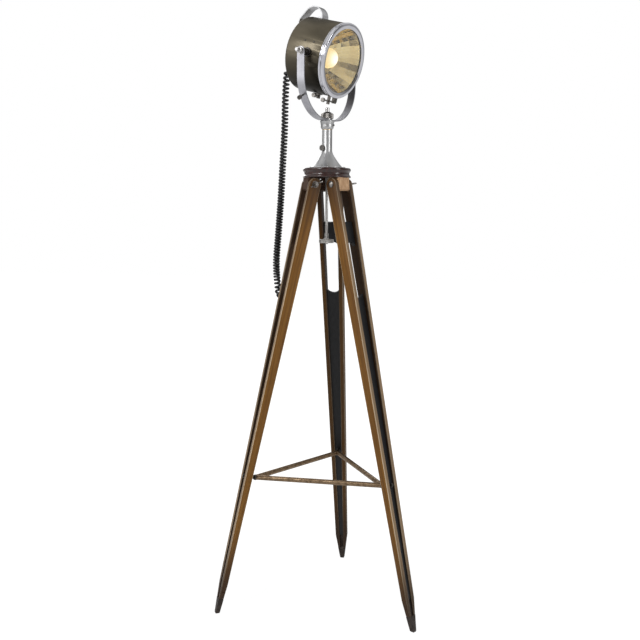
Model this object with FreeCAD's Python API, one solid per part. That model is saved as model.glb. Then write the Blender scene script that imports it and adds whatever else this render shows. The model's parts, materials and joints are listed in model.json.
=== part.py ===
"""Tripod spotlight floor lamp, in millimetres.

The floor is z = 0 and the tripod's axis is Z. The back leg points along +Y. The lamp hangs in a yoke
above the tripod and faces away to the right of the back leg, a little downwards.
"""
import FreeCAD, Part
import math
import os

V = FreeCAD.Vector
os.makedirs("parts", exist_ok=True)

# ---- Clearances ----
RUN = 0.08            # radial play of a turning shaft in its bore
FIT = 0.05            # play between pieces of one assembly
GAP = 0.3             # face clearance beside a piece that moves
REACH = 900.0         # longer than any piece that a cutter passes through

# ---- Tripod legs ----
LEGS = {"back": 90.0, "left": 210.0, "right": 330.0}
HINGE_Z = 1222.0
HINGE_R = 46.6
FOOT_R = 325.4
BOARD_T = 13.1
BOARD_TOP_D = 35.4
BOARD_FOOT_D = 15.2
LEG_TOP_W = 72.7
LEG_FOOT_W = 34.9
FILLER_D = 10.0
FILLER_SAG = 10.0     # depth of the hollow ends that face the slot between two fillers
UPPER_FILLER_TOP_Z = 1118.0
UPPER_FILLER_LOW_Z = 1052.0
LOWER_FILLER_TOP_Z = 918.0
TAPER_Z = 88.0        # where the boards start to narrow to the shoe
SHOE_Z = 44.0
SHOE_TIP = 12.0
TANG_D = 7.0
SHOE_PIN_R = 1.6

# ---- Leg hinges ----
HINGE_BOLT_R = 4.0
BOLT_HEAD_R = 8.0
BOLT_HEAD_H = 3.6
WASHER_R = 9.0
WASHER_T = 1.4
BLOCK_D = 36.0
BLOCK_DROP = 36.5
WING_HUB_R = 6.0
WING_HUB_H = 10.0
WING_SPAN = 37.0
WING_RISE = 18.0
WING_T = 2.6
WING_TURN = {"back": 28.0, "left": 40.0, "right": -6.0}
BLOCK_SCREW_R = 2.5
BLOCK_SCREW_OUT = 41.0
BLOCK_SCREW_L = 36.0

# ---- Stretcher ----
STRETCHER_Z = 390.2
STRETCHER_INSET = 25.7
ROD_R = 7.0
BALL_R = 8.2
STEM_R = 3.5
STEM_NUT_AF = 11.0
STEM_NUT_H = 5.0

# ---- Head plate and centre rod ----
PLATE_R = 67.5
PLATE_WAIST_R = 63.5
PLATE_Z = 1241.7
PLATE_T = 26.5
CENTRE_ROD_R = 3.9
CENTRE_ROD_UP = 22.0
WHEEL_Z = 1058.5
WHEEL_R = 21.0
WHEEL_T = 10.5
WHEEL_RIDGES = 36
WHEEL_HUB_R = 5.6
WHEEL_HUB_H = 17.0

# ---- Pedestal ----
FLANGE_R = 53.0
FLANGE_T = 2.5
FLARE = [(41.5, 5.7), (32.4, 16.2), (25.2, 26.7), (18.4, 37.5), (14.25, 49.5)]
COLUMN_R = 14.25
COLUMN_TOP_Z = 1375.0
SPINDLE_BORE_Z = 1300.0
PEDESTAL_SCREW_R = 4.2
PEDESTAL_SCREW_OUT = 47.5
PEDESTAL_SCREW_SHANK_R = 2.0
PEDESTAL_SCREW_L = 16.0
POST_SCREW_Z = 1325.0
POST_SCREW_AZ = 232.5
POST_KNOB_R = 8.2
POST_KNOB_T = 6.5
POST_SHANK_R = 3.0

# ---- Swivel ----
SPINDLE_R = 8.0
STUD_R = 6.0
STUD_TOP_Z = 1436.5
SWIVEL_WASHER_T = 1.2
COLLAR_H = 24.0
COLLAR_TOP_R = 20.5
COLLAR_LOW_R = 18.0
COLLAR_FOOT_R = 15.0
COLLAR_SCREW_R = 2.6
COLLAR_SCREW_AZ = 8.0
HAND_NUT_R = 17.0
HAND_NUT_RIM_R = 17.5
HAND_NUT_H = 14.0
HAND_NUT_DOME = 6.5
HAND_NUT_RIDGES = 28

# ---- Lamp's place ----
LAMP_AZ = -22.54
LAMP_DOWN = 15.15
PIVOT_Z = 1572.8

# ---- Yoke ----
YOKE_HALF = 131.7
YOKE_T = 3.0
YOKE_W = 23.0
YOKE_BEND_R = 108.5
PIVOT_BOLT_R = 5.0
SIDE_SCREW_ANGLE = 28.0
SIDE_KNOB_R = 5.8
SIDE_KNOB_T = 9.0
SIDE_KNOB_OUT = 14.0
SIDE_SHANK_R = 2.5

# ---- Pivots ----
PIVOT_BOLT_OUT = 20.0
BUSH_R = 8.5
BUSH_FOOT_R = 12.5
BUSH_FOOT_H = 4.5
PIVOT_WASHER_R = 10.2
PIVOT_WASHER_T = 1.5
PIVOT_NUT_R = 8.8
PIVOT_NUT_H = 7.5
PIVOT_GRIP_R = 6.2
PIVOT_GRIP_H = 8.0

# ---- Drum (lamp frame: x forwards, y to the far side, z up, origin on the pivot axis) ----
DRUM_R = 99.7
DRUM_WALL = 1.2
DRUM_BACK_X = -75.7
DRUM_FRONT_X = 40.5
DRUM_EDGE_R = 7.0
SPIGOT_R = 96.7
SPIGOT_L = 5.0
RIVET_X = (-19.0, 11.0)
RIVET_Z = 29.5
RIVET_HEAD_R = 2.6
RIVET_SHANK_R = 1.5
TRUNNION_W = 44.0
TRUNNION_H = 74.0
TRUNNION_T = 3.0
TRUNNION_BOSS_R = 11.0
TRUNNION_BOSS_H = 10.0

# ---- Bezel and lens ----
BEZEL_R = 99.1
BEZEL_BEAD_R = 100.4
BEZEL_LIP_R = 101.7
BEZEL_FRONT_X = 56.2
BEZEL_LIP_T = 2.1
BEZEL_BORE_R = 97.1
GLASS_OPEN_R = 86.1
GLASS_R = 96.4
GLASS_T = 3.0
GLASS_RISE = 9.0
GASKET_T = 2.0
RETAINER_T = 1.4
RETAINER_IN_R = 88.5
LUG_X = (41.3, 49.3)
NEAR_LUG_Y = (-19.0, -14.5)
FAR_LUG_Y = (5.0, 19.0)
NEAR_LUG_DROP = 121.5
FAR_LUG_DROP = 114.5
CLAMP_DROP = 112.5
CLAMP_SCREW_R = 2.2
CLAMP_KNOB_R = 6.0
CLAMP_KNOB_T = 8.0
CLAMP_KNOB_Y = -44.0
SLIT_W = 3.0

# ---- Reflector, lamp holder and bulb ----
REFLECTOR_APEX_X = -45.0
REFLECTOR_RIM_R = 92.0
REFLECTOR_HOLE_R = 20.5
REFLECTOR_T = 1.0
REFLECTOR_FLANGE_R = 96.2
HOLDER_R = 19.5
HOLDER_BORE_R = 13.6
HOLDER_L = 36.0
HOLDER_FLOOR = 8.0
HOLDER_PLATE_R = 30.0
HOLDER_PLATE_T = 2.0
HOLDER_SCREW_OUT = 25.0
HOLDER_SCREW_R = 2.0
BULB_CAP_R = 13.2
BULB_CAP_L = 26.0
BULB_NECK_R = 12.4
BULB_R = 27.5
BULB_CENTRE_X = 2.0

# ---- Grab handle ----
HANDLE_FRONT = (-68.0, 96.5)
HANDLE_FRONT_R = 32.0
HANDLE_REAR = (-95.0, 80.0)
HANDLE_REAR_R = 20.0
HANDLE_T = 3.0
HANDLE_W = 30.0
HANDLE_FOOT_L = 16.0
HANDLE_SCREW_R = 2.4
HANDLE_SCREW_HEAD_R = 4.6
HANDLE_SCREW_HEAD_H = 2.6

# ---- Underside bracket and thumb screw ----
BRACKET_X = -2.5
BRACKET_L = 9.0
BRACKET_Y = (-3.0, 3.0)
BRACKET_DROP = 113.0
THUMB_DROP = 106.0
THUMB_R = 6.2
THUMB_T = 11.0
THUMB_Y = -27.0
THUMB_SHANK_R = 2.4

# ---- Curly cord ----
CORD_D = 7.0
CURL_R = 7.0
GLAND_DROP = 42.0
GLAND_L = 22.0
GLAND_R = 10.0
GLAND_TIP_R = 6.0
BEND_R = 28.0
LOW_BEND_R = 32.0
CURL_START = 34.0
CORD_ROUTE = [(-133.4, 49.4, 1467.1), (-132.6, 42.9, 1398.4), (-133.8, 37.0, 1341.1),
              (-135.5, 32.1, 1295.2), (-137.4, 26.0, 1232.0), (-138.8, 20.3, 1180.3),
              (-140.5, 16.5, 1145.8), (-142.4, 12.2, 1105.6), (-144.6, 8.6, 1065.3),
              (-147.4, 6.6, 1030.7), (-149.3, 7.5, 998.0), (-148.9, 11.0, 961.0)]
PITCH_TOP = 11.3
PITCH_MIDDLE = 9.6
PITCH_LOW = 8.1
PITCH_ENDS = 13.0

# ---- Junction box on the left leg ----
BOX_Z = 888.0
BOX_X = -4.0
BOX_W = 22.0
BOX_L = 50.0
BOX_T = 12.0
BOX_WALL = 1.6
BOX_GLAND_R = 7.5
BOX_GLAND_L = 13.0
BOX_GLAND_UP = 8.0
INLET_R = 3.6
INLET_L = 12.0

# ---- Placements ----
SPLAY = math.degrees(math.atan2(FOOT_R - HINGE_R, HINGE_Z))
LEG_L = math.hypot(FOOT_R - HINGE_R, HINGE_Z)
LEG_COS = HINGE_Z / LEG_L
LEG_SIN = (FOOT_R - HINGE_R) / LEG_L
BOARD_IN_Y = LEG_TOP_W / 2 - BOARD_T
BOARD_LEAN = math.degrees(math.atan2((LEG_TOP_W - LEG_FOOT_W) / 2, LEG_L))
STRETCHER_R = HINGE_R + (FOOT_R - HINGE_R) * (HINGE_Z - STRETCHER_Z) / HINGE_Z - STRETCHER_INSET
PLATE_TOP = PLATE_Z + PLATE_T
COLLAR_Z = COLUMN_TOP_Z + SWIVEL_WASHER_T + GAP
YOKE_Z = COLLAR_Z + COLLAR_H + GAP
YOKE_FLOOR = YOKE_Z + YOKE_T


def placed(shape, placement):
    """A copy of a shape, moved by a placement."""
    shape = shape.copy()
    shape.Placement = placement.multiply(shape.Placement)
    return shape


def leg_place(azimuth):
    """Leg frame: origin on the hinge bolt, x outwards from the leg's face, y across, z up the leg."""
    a = math.radians(azimuth)
    spin = FreeCAD.Rotation(V(0, 0, 1), azimuth)
    lean = FreeCAD.Rotation(V(0, 1, 0), -SPLAY)
    return FreeCAD.Placement(V(HINGE_R * math.cos(a), HINGE_R * math.sin(a), HINGE_Z), spin.multiply(lean))


def upright_place(azimuth, z=0.0):
    """A frame turned about the tripod's axis only."""
    return FreeCAD.Placement(V(0, 0, z), FreeCAD.Rotation(V(0, 0, 1), azimuth))


YAW = FreeCAD.Rotation(V(0, 0, 1), LAMP_AZ)
LAMP = FreeCAD.Placement(V(0, 0, PIVOT_Z), YAW.multiply(FreeCAD.Rotation(V(0, 1, 0), LAMP_DOWN)))
YOKE = FreeCAD.Placement(V(0, 0, 0), YAW)
TO_X = FreeCAD.Placement(V(0, 0, 0), FreeCAD.Rotation(V(0, 1, 0), 90))
TO_NEAR = FreeCAD.Placement(V(0, 0, 0), FreeCAD.Rotation(V(1, 0, 0), 90))
TO_FAR = FreeCAD.Placement(V(0, 0, 0), FreeCAD.Rotation(V(1, 0, 0), -90))
FLIP = FreeCAD.Placement(V(0, 0, 0), FreeCAD.Rotation(V(1, 0, 0), 180))


def outline(start, *steps):
    """Closed face in the XZ plane: a step of two numbers is a line, a step of two points an arc."""
    edges = []
    here = start
    for step in steps:
        a = V(here[0], 0, here[1])
        if isinstance(step[0], tuple):
            mid, end = step
            edges.append(Part.Arc(a, V(mid[0], 0, mid[1]), V(end[0], 0, end[1])).toShape())
        else:
            end = step
            edges.append(Part.makeLine(a, V(end[0], 0, end[1])))
        here = end
    if math.dist(here, start) > 1e-9:
        edges.append(Part.makeLine(V(here[0], 0, here[1]), V(start[0], 0, start[1])))
    return Part.Face(Part.Wire(edges))


def turned(start, *steps):
    """Solid turned about Z from an outline of (radius, height) points."""
    return outline(start, *steps).revolve(V(0, 0, 0), V(0, 0, 1), 360)


def rod(r, z0, z1):
    """Cylinder on Z from z0 to z1."""
    return Part.makeCylinder(r, z1 - z0, V(0, 0, z0))


def tube(r, bore, z0, z1):
    """Ring on Z from z0 to z1."""
    return rod(r, z0, z1).cut(rod(bore, z0 - 1, z1 + 1))


def block(x0, x1, y0, y1, z0, z1):
    """Box between two values on each axis."""
    return Part.makeBox(x1 - x0, y1 - y0, z1 - z0, V(x0, y0, z0))


def prism(points, z0, z1):
    """Straight prism on Z over a polygon of (x, y) points."""
    ring = [V(x, y, z0) for x, y in points]
    return Part.Face(Part.makePolygon(ring + ring[:1])).extrude(V(0, 0, z1 - z0))


def hex_prism(across, z0, z1):
    """Hexagon nut blank on Z."""
    r = across / math.sqrt(3)
    return prism([(r * math.cos(k * math.pi / 3), r * math.sin(k * math.pi / 3)) for k in range(6)], z0, z1)


def knurled(r, z0, z1, ridges, depth, chamfer):
    """Knob on Z with upright ridges round it and chamfered rims."""
    points = []
    for k in range(ridges):
        a = 2 * math.pi * k / ridges
        b = a + math.pi / ridges
        points.append((r * math.cos(a), r * math.sin(a)))
        points.append(((r - depth) * math.cos(b), (r - depth) * math.sin(b)))
    rim = r - chamfer
    body = turned((0, z0), (rim, z0), (r, z0 + chamfer), (r, z1 - chamfer), (rim, z1), (0, z1))
    return prism(points, z0, z1).common(body)


def crown(r, z0, z1):
    """Arc for an outline from (r, z0) up to (0, z1), with its centre on the axis."""
    rise = z1 - z0
    ball = (r * r + rise * rise) / (2 * rise)
    turn = math.atan2(r, ball - rise) / 2
    return (ball * math.sin(turn), z1 - ball + ball * math.cos(turn)), (0, z1)


def dome_head(r, h, z):
    """Rounded screw head that stands on z."""
    return turned((0, z), (r, z), (r, z + 0.25 * h), crown(r, z + 0.25 * h, z + h))


def save(name, *solids):
    """Write one named piece, or one group of equal pieces."""
    shape = solids[0] if len(solids) == 1 else Part.makeCompound(list(solids))
    if not shape.isValid():
        raise ValueError(name + " isn't valid")
    shape.exportStep("parts/" + name + ".step")
    print(name, len(shape.Solids), round(shape.Volume / 1000, 2), "cm3")


# ==== Legs ====

def along(z):
    """Height in the leg frame of the leg's centre line at a world height."""
    return (z - HINGE_Z) / LEG_COS


def board_depth(z):
    """Board depth at a height in the leg frame."""
    return BOARD_TOP_D + (BOARD_TOP_D - BOARD_FOOT_D) * z / LEG_L


def inner_half(z):
    """Half the space between the boards at a height in the leg frame."""
    return BOARD_IN_Y + z * math.tan(math.radians(BOARD_LEAN))


TAPER_TOP = along(TAPER_Z)
SHOE_TOP = along(SHOE_Z)


def point_frustum(low, high):
    """The pointed outside of a leg's foot, between two heights of the leg frame."""
    half_y = inner_half(TAPER_TOP) + BOARD_T / math.cos(math.radians(BOARD_LEAN))
    half_x = board_depth(TAPER_TOP) / 2
    tip = SHOE_TIP / 2

    def ring(z):
        t = (z + LEG_L) / (TAPER_TOP + LEG_L)
        x = tip + (half_x - tip) * t
        y = tip + (half_y - tip) * t
        return Part.makePolygon([V(x, y, z), V(-x, y, z), V(-x, -y, z), V(x, -y, z), V(x, y, z)])
    return Part.makeLoft([ring(low), ring(high)], True, True)


def board(side):
    """Leg board with a round top about the hinge bolt; side is +1 or -1 across the leg."""
    top = BOARD_TOP_D / 2
    foot = BOARD_FOOT_D / 2
    face = outline((top, 0), ((0, top), (-top, 0)), (-foot, -LEG_L), (foot, -LEG_L))
    plank = face.extrude(V(0, side * BOARD_T, 0))
    plank.translate(V(0, side * BOARD_IN_Y, 0))
    plank.rotate(V(0, side * BOARD_IN_Y, 0), V(1, 0, 0), -side * BOARD_LEAN)
    low = block(-REACH, REACH, -REACH, REACH, -REACH - LEG_L, TAPER_TOP)
    plank = plank.cut(low.cut(point_frustum(SHOE_TOP, TAPER_TOP)))
    across = placed(rod(HINGE_BOLT_R + FIT, -REACH, REACH), TO_FAR)
    pin = placed(rod(SHOE_PIN_R + FIT, -REACH, REACH), TO_FAR)
    pin.translate(V(0, 0, PIN_Z))
    return plank.cut(across).cut(pin)


PIN_Z = (TAPER_TOP + SHOE_TOP) / 2


def filler(low, high, low_sag=0.0, high_sag=0.0):
    """Board between the two leg boards, set back from their edges, with flat or hollowed ends."""
    wide = inner_half(high) - FIT
    narrow = inner_half(low) - FIT
    ring = [V(0, -narrow, low), V(0, -wide, high), V(0, wide, high), V(0, narrow, low)]
    edges = [Part.makeLine(ring[0], ring[1]), Part.makeLine(ring[2], ring[3])]
    for a, b, middle in ((ring[1], ring[2], high - high_sag), (ring[3], ring[0], low + low_sag)):
        flat = abs(middle - a.z) < FIT
        edges.append(Part.makeLine(a, b) if flat else Part.Arc(a, V(0, 0, middle), b).toShape())
    face = Part.Face(Part.Wire(Part.__sortEdges__(edges)))
    face.translate(V(-FILLER_D / 2, 0, 0))
    return face.extrude(V(FILLER_D, 0, 0))


def shoe():
    """Pointed metal shoe with a tang between the boards, cut level on the floor."""
    point = point_frustum(-LEG_L - 8, SHOE_TOP - FIT)
    half = inner_half(SHOE_TOP) - FIT
    tang = block(-TANG_D / 2, TANG_D / 2, -half, half, SHOE_TOP - 3, TAPER_TOP)
    pin = placed(rod(SHOE_PIN_R + FIT, -REACH, REACH), TO_FAR)
    pin.translate(V(0, 0, PIN_Z))
    return point.fuse(tang).cut(pin).removeSplitter()


def shoe_pin():
    """Flush pin through both boards and the tang."""
    half = inner_half(PIN_Z) + 4.0
    pin = placed(rod(SHOE_PIN_R, -half, half), TO_FAR)
    pin.translate(V(0, 0, PIN_Z))
    return pin


def hinge_bolt():
    """Bolt across the leg's top: domed head on one side, thread for the wing nut on the other."""
    out = LEG_TOP_W / 2 + WASHER_T + GAP
    shank = rod(HINGE_BOLT_R, -out, out + WING_HUB_H + 4)
    head = placed(dome_head(BOLT_HEAD_R, BOLT_HEAD_H, out), FLIP)
    return placed(shank.fuse(head), TO_FAR)


def hinge_washer(side):
    """Washer between a board and the bolt's head or nut."""
    face = LEG_TOP_W / 2 + GAP / 2
    ring = tube(WASHER_R, HINGE_BOLT_R + FIT, face, face + WASHER_T)
    return placed(ring, TO_FAR if side > 0 else TO_NEAR)


def wing_nut(turn):
    """Wing nut on the hinge bolt's thread, its wings turned about the bolt by some degrees."""
    base = LEG_TOP_W / 2 + WASHER_T + 2 * GAP
    hub = turned((0, base), (WING_HUB_R + 1.5, base), (WING_HUB_R, base + WING_HUB_H), (0, base + WING_HUB_H))
    s = WING_SPAN / 2
    h = WING_HUB_R
    rise = WING_RISE
    face = outline((h - 2, base + 1), (h + 1.5, base + 1),
                   ((s - 1.5, base + 0.35 * rise), (s, base + 0.8 * rise)),
                   ((s - 2.6, base + rise), (s - 5.6, base + 0.86 * rise)), (h - 2, base + 0.62 * WING_HUB_H))
    face.translate(V(0, -WING_T / 2, 0))
    wing = face.extrude(V(0, WING_T, 0))
    other = placed(wing, FreeCAD.Placement(V(0, 0, 0), FreeCAD.Rotation(V(0, 0, 1), 180)))
    nut = hub.fuse([wing, other]).cut(rod(HINGE_BOLT_R + RUN, base - 1, base + WING_HUB_H + 1))
    return placed(placed(nut, upright_place(turn)), TO_FAR)


def hinge_block(azimuth):
    """Wood block under the head plate that the leg's top straddles."""
    half = inner_half(along(HINGE_Z - BLOCK_DROP / 2)) - GAP
    back = HINGE_R - BLOCK_D / 2
    front = HINGE_R + BLOCK_D / 2
    low = PLATE_Z - BLOCK_DROP
    face = outline((back, PLATE_Z), (front - 2, PLATE_Z), (front, low + 4), (front - 4, low), (back + 3, low),
                   (back, low + 3))
    face.translate(V(0, -half, 0))
    body = placed(face.extrude(V(0, 2 * half, 0)), upright_place(azimuth))
    bolt = placed(placed(rod(HINGE_BOLT_R + FIT, -LEG_TOP_W, LEG_TOP_W), TO_FAR), leg_place(azimuth))
    screw = rod(BLOCK_SCREW_R + FIT, PLATE_TOP - BLOCK_SCREW_L - 2, PLATE_TOP)
    screw.translate(V(BLOCK_SCREW_OUT, 0, 0))
    return body.cut(bolt).cut(placed(screw, upright_place(azimuth)))


def block_screw(azimuth):
    """Countersunk screw from the plate's top into a hinge block, hidden under the pedestal."""
    top = PLATE_TOP - 0.2
    shank = rod(BLOCK_SCREW_R, top - BLOCK_SCREW_L, top)
    head = Part.makeCone(BLOCK_SCREW_R, 2 * BLOCK_SCREW_R, BLOCK_SCREW_R, V(0, 0, top - BLOCK_SCREW_R))
    screw = shank.fuse(head)
    screw.translate(V(BLOCK_SCREW_OUT, 0, 0))
    return placed(screw, upright_place(azimuth))


def corner_eye():
    """Ball that two stretcher rods meet on, with a threaded stem through the leg's filler."""
    drop_r = STRETCHER_R - HINGE_R
    drop_z = STRETCHER_Z - HINGE_Z
    x = drop_r * LEG_COS + drop_z * LEG_SIN
    z = -drop_r * LEG_SIN + drop_z * LEG_COS
    ball = Part.makeSphere(BALL_R, V(x, 0, z))
    end = FILLER_D / 2 + STEM_NUT_H + 2.5
    stem = Part.makeCylinder(STEM_R, end - x, V(x, 0, z), V(1, 0, 0))
    collar = Part.makeCylinder(STEM_R + 2, 3, V(-FILLER_D / 2 - 3 - FIT, 0, z), V(1, 0, 0))
    return ball.fuse([stem, collar]), z


def corner_nut():
    """Nut on the stem, in the recess between the boards."""
    z = corner_eye()[1]
    nut = hex_prism(STEM_NUT_AF, FILLER_D / 2 + FIT, FILLER_D / 2 + FIT + STEM_NUT_H)
    nut = placed(nut.cut(rod(STEM_R + FIT, 0, 40)), TO_X)
    nut.translate(V(0, 0, z))
    return nut


def stretcher(a, b):
    """Stretcher rod between two corners, mitred to its neighbours and cupped on the corner balls."""
    ends = []
    for azimuth in (a, b):
        t = math.radians(azimuth)
        ends.append(V(STRETCHER_R * math.cos(t), STRETCHER_R * math.sin(t), STRETCHER_Z))
    way = ends[1].sub(ends[0])
    body = Part.makeCylinder(ROD_R, way.Length, ends[0], way)
    middle = ends[0].add(ends[1]).multiply(0.5)
    for end, azimuth in zip(ends, (a, b)):
        body = body.cut(Part.makeSphere(BALL_R + FIT, end))
        t = math.radians(azimuth)
        normal = V(-math.sin(t), math.cos(t), 0)
        if normal.dot(middle.sub(end)) < 0:
            normal = normal.multiply(-1)
        beyond = block(-REACH, REACH, -REACH, REACH, FIT - REACH, FIT)
        beyond.Placement = FreeCAD.Placement(end, FreeCAD.Rotation(V(0, 0, 1), normal))
        body = body.cut(beyond)
    return body


BALL_STEM_Z = corner_eye()[1]
PLACES = [leg_place(azimuth) for azimuth in LEGS.values()]
floor_cut = block(-REACH, REACH, -REACH, REACH, -REACH, 0)
stem_hole = Part.makeCylinder(STEM_R + FIT, 2 * LEG_TOP_W, V(-LEG_TOP_W, 0, BALL_STEM_Z), V(1, 0, 0))
upper = filler(along(UPPER_FILLER_LOW_Z), along(UPPER_FILLER_TOP_Z), low_sag=FILLER_SAG)
lower = filler(TAPER_TOP + FIT, along(LOWER_FILLER_TOP_Z), high_sag=FILLER_SAG).cut(stem_hole)
for name, place in zip(LEGS, PLACES):
    save(name + "_leg_boards", placed(board(1), place), placed(board(-1), place))
    save(name + "_wing_nut", placed(wing_nut(WING_TURN[name]), place))
save("upper_fillers", *[placed(upper, place) for place in PLACES])
save("lower_fillers", *[placed(lower, place) for place in PLACES])
save("shoes", *[placed(shoe(), place).cut(floor_cut) for place in PLACES])
save("shoe_pins", *[placed(shoe_pin(), place) for place in PLACES])
save("hinge_blocks", *[hinge_block(azimuth) for azimuth in LEGS.values()])
save("hinge_bolts", *[placed(hinge_bolt(), place) for place in PLACES])
save("hinge_washers", *[placed(hinge_washer(side), place) for place in PLACES for side in (1, -1)])
save("block_screws", *[block_screw(azimuth) for azimuth in LEGS.values()])
save("stretcher_eyes", *[placed(corner_eye()[0], place) for place in PLACES])
save("stretcher_nuts", *[placed(corner_nut(), place) for place in PLACES])
corners = list(LEGS.values())
save("stretcher_rods", *[stretcher(a, b) for a, b in zip(corners, corners[1:] + corners[:1])])

# ==== Head plate, centre rod and pedestal ====
R = PLATE_R
W = PLATE_WAIST_R
Z0 = PLATE_Z
Z1 = PLATE_TOP
plate = turned((0, Z0), (R - 1.5, Z0), ((R, Z0 + 2.5), (R - 1.0, Z0 + 5)), (R - 2.2, Z0 + 6),
               ((W, Z0 + 11), (R - 2.6, Z0 + 16.5)), (R - 1.4, Z0 + 18), ((R, Z0 + 22), (R - 1.2, Z1 - 0.8)),
               (R - 2, Z1), (0, Z1))
plate = plate.cut(rod(CENTRE_ROD_R + RUN, Z0 - 1, Z1 + 1))
for azimuth in LEGS.values():
    plate = plate.cut(block_screw(azimuth))
FIRST_SCREW_AZ = 10.8
SCREW_AZ = [FIRST_SCREW_AZ + 90 * k for k in range(4)]


def pedestal_screw(azimuth):
    """Round-head screw through the pedestal's flange into the head plate."""
    top = PLATE_TOP + FLANGE_T
    screw = dome_head(PEDESTAL_SCREW_R, 2.4, top + FIT)
    screw = screw.fuse(rod(PEDESTAL_SCREW_SHANK_R, top - PEDESTAL_SCREW_L, top + FIT + 0.5))
    screw.translate(V(PEDESTAL_SCREW_OUT, 0, 0))
    return placed(screw, upright_place(azimuth))


def screw_hole(azimuth):
    """Clearance for a pedestal screw, with a spot face for its head."""
    top = PLATE_TOP + FLANGE_T
    hole = rod(PEDESTAL_SCREW_SHANK_R + FIT, top - PEDESTAL_SCREW_L - 1, top + 1)
    hole = hole.fuse(rod(PEDESTAL_SCREW_R + GAP, top, top + FLANGE_R))
    hole.translate(V(PEDESTAL_SCREW_OUT, 0, 0))
    return placed(hole, upright_place(azimuth))


FLARE_POINTS = [V(FLANGE_R - 1.0, 0, Z1 + FLANGE_T)] + [V(r, 0, Z1 + h) for r, h in FLARE]
flare = Part.BSplineCurve()
flare.interpolate(FLARE_POINTS[1:])
CORE = [V(COLUMN_R, 0, FLARE_POINTS[-1].z), V(COLUMN_R, 0, COLUMN_TOP_Z), V(0, 0, COLUMN_TOP_Z), V(0, 0, Z1),
        V(FLANGE_R, 0, Z1), V(FLANGE_R, 0, Z1 + FLANGE_T - 0.6), V(FLANGE_R - 0.6, 0, Z1 + FLANGE_T),
        V(FLARE[0][0] + 3.0, 0, Z1 + FLANGE_T), FLARE_POINTS[1]]
edges = [flare.toShape()] + [Part.makeLine(a, b) for a, b in zip(CORE, CORE[1:])]
pedestal = Part.Face(Part.Wire(edges)).revolve(V(0, 0, 0), V(0, 0, 1), 360)
pedestal = pedestal.cut(rod(SPINDLE_R + RUN, SPINDLE_BORE_Z, COLUMN_TOP_Z + 1))
pedestal = pedestal.cut(rod(CENTRE_ROD_R + RUN, Z1 - 1, Z1 + CENTRE_ROD_UP + GAP))
set_hole = placed(placed(rod(POST_SHANK_R + RUN, 0, 40), TO_X), upright_place(POST_SCREW_AZ, POST_SCREW_Z))
pedestal = pedestal.cut(set_hole)
for azimuth in SCREW_AZ:
    plate = plate.cut(screw_hole(azimuth))
    pedestal = pedestal.cut(screw_hole(azimuth))
save("head_plate", plate)
save("pedestal", pedestal)
save("pedestal_screws", *[pedestal_screw(azimuth) for azimuth in SCREW_AZ])

save("centre_rod", rod(CENTRE_ROD_R, WHEEL_Z - 3.0, Z1 + CENTRE_ROD_UP))
wheel = knurled(WHEEL_R, WHEEL_Z, WHEEL_Z + WHEEL_T, WHEEL_RIDGES, 0.7, 1.2)
hub = turned((0, WHEEL_Z + WHEEL_T - 1), (WHEEL_HUB_R + 3, WHEEL_Z + WHEEL_T - 1),
             (WHEEL_HUB_R, WHEEL_Z + WHEEL_T + 3), (WHEEL_HUB_R, WHEEL_Z + WHEEL_T + WHEEL_HUB_H),
             (0, WHEEL_Z + WHEEL_T + WHEEL_HUB_H))
save("hand_wheel", wheel.fuse(hub).cut(rod(CENTRE_ROD_R + FIT, WHEEL_Z - 1, WHEEL_Z + 60)))

post_screw = knurled(POST_KNOB_R, COLUMN_R + 1.6, COLUMN_R + 1.6 + POST_KNOB_T, 24, 0.5, 0.8)
post_screw = post_screw.fuse(rod(POST_SHANK_R, SPINDLE_R + GAP, COLUMN_R + 3))
save("post_set_screw", placed(placed(post_screw, TO_X), upright_place(POST_SCREW_AZ, POST_SCREW_Z)))

# ==== Swivel ====
save("swivel_washer", tube(COLUMN_R - 0.4, SPINDLE_R + RUN, COLUMN_TOP_Z, COLUMN_TOP_Z + SWIVEL_WASHER_T))
spindle = rod(SPINDLE_R, SPINDLE_BORE_Z + 2, COLLAR_Z + 4).fuse(rod(STUD_R, COLLAR_Z + 3, STUD_TOP_Z - 1))
spindle = spindle.fuse(Part.makeCone(STUD_R, STUD_R - 1, 1, V(0, 0, STUD_TOP_Z - 1)))
save("swivel_spindle", placed(spindle, YOKE))
Z2 = COLLAR_Z
collar = turned((0, Z2), (COLLAR_FOOT_R, Z2), (COLLAR_LOW_R, Z2 + 5), (COLLAR_LOW_R, Z2 + 9),
                ((COLLAR_LOW_R + 0.4, Z2 + 15), (COLLAR_TOP_R, Z2 + COLLAR_H - 2)),
                (COLLAR_TOP_R - 0.5, Z2 + COLLAR_H), (0, Z2 + COLLAR_H))
collar = collar.cut(rod(SPINDLE_R + FIT, Z2 - 1, Z2 + 4 + FIT)).cut(rod(STUD_R + FIT, Z2, Z2 + COLLAR_H + 1))
GRUB_Z = Z2 + 12.0
grub = placed(rod(COLLAR_SCREW_R, STUD_R + GAP, COLLAR_LOW_R + 2.4), TO_X)
grub_hole = placed(rod(COLLAR_SCREW_R + FIT, 0, COLLAR_TOP_R + 5), TO_X)
collar = collar.cut(placed(grub_hole, upright_place(COLLAR_SCREW_AZ, GRUB_Z)))
save("swivel_collar", collar)
save("collar_grub_screw", placed(grub, upright_place(COLLAR_SCREW_AZ, GRUB_Z)))
NUT_Z = YOKE_FLOOR + 0.1 + 2.0 + GAP
save("swivel_nut_washer", tube(HAND_NUT_R - 3, STUD_R + FIT, YOKE_FLOOR + 0.1, YOKE_FLOOR + 2.1))
nut = knurled(HAND_NUT_RIM_R, NUT_Z, NUT_Z + HAND_NUT_H, HAND_NUT_RIDGES, 1.1, 1.2)
top = NUT_Z + HAND_NUT_H - 0.2
dome = turned((0, top), (HAND_NUT_R - 2.4, top), crown(HAND_NUT_R - 2.4, top, top + HAND_NUT_DOME))
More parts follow.
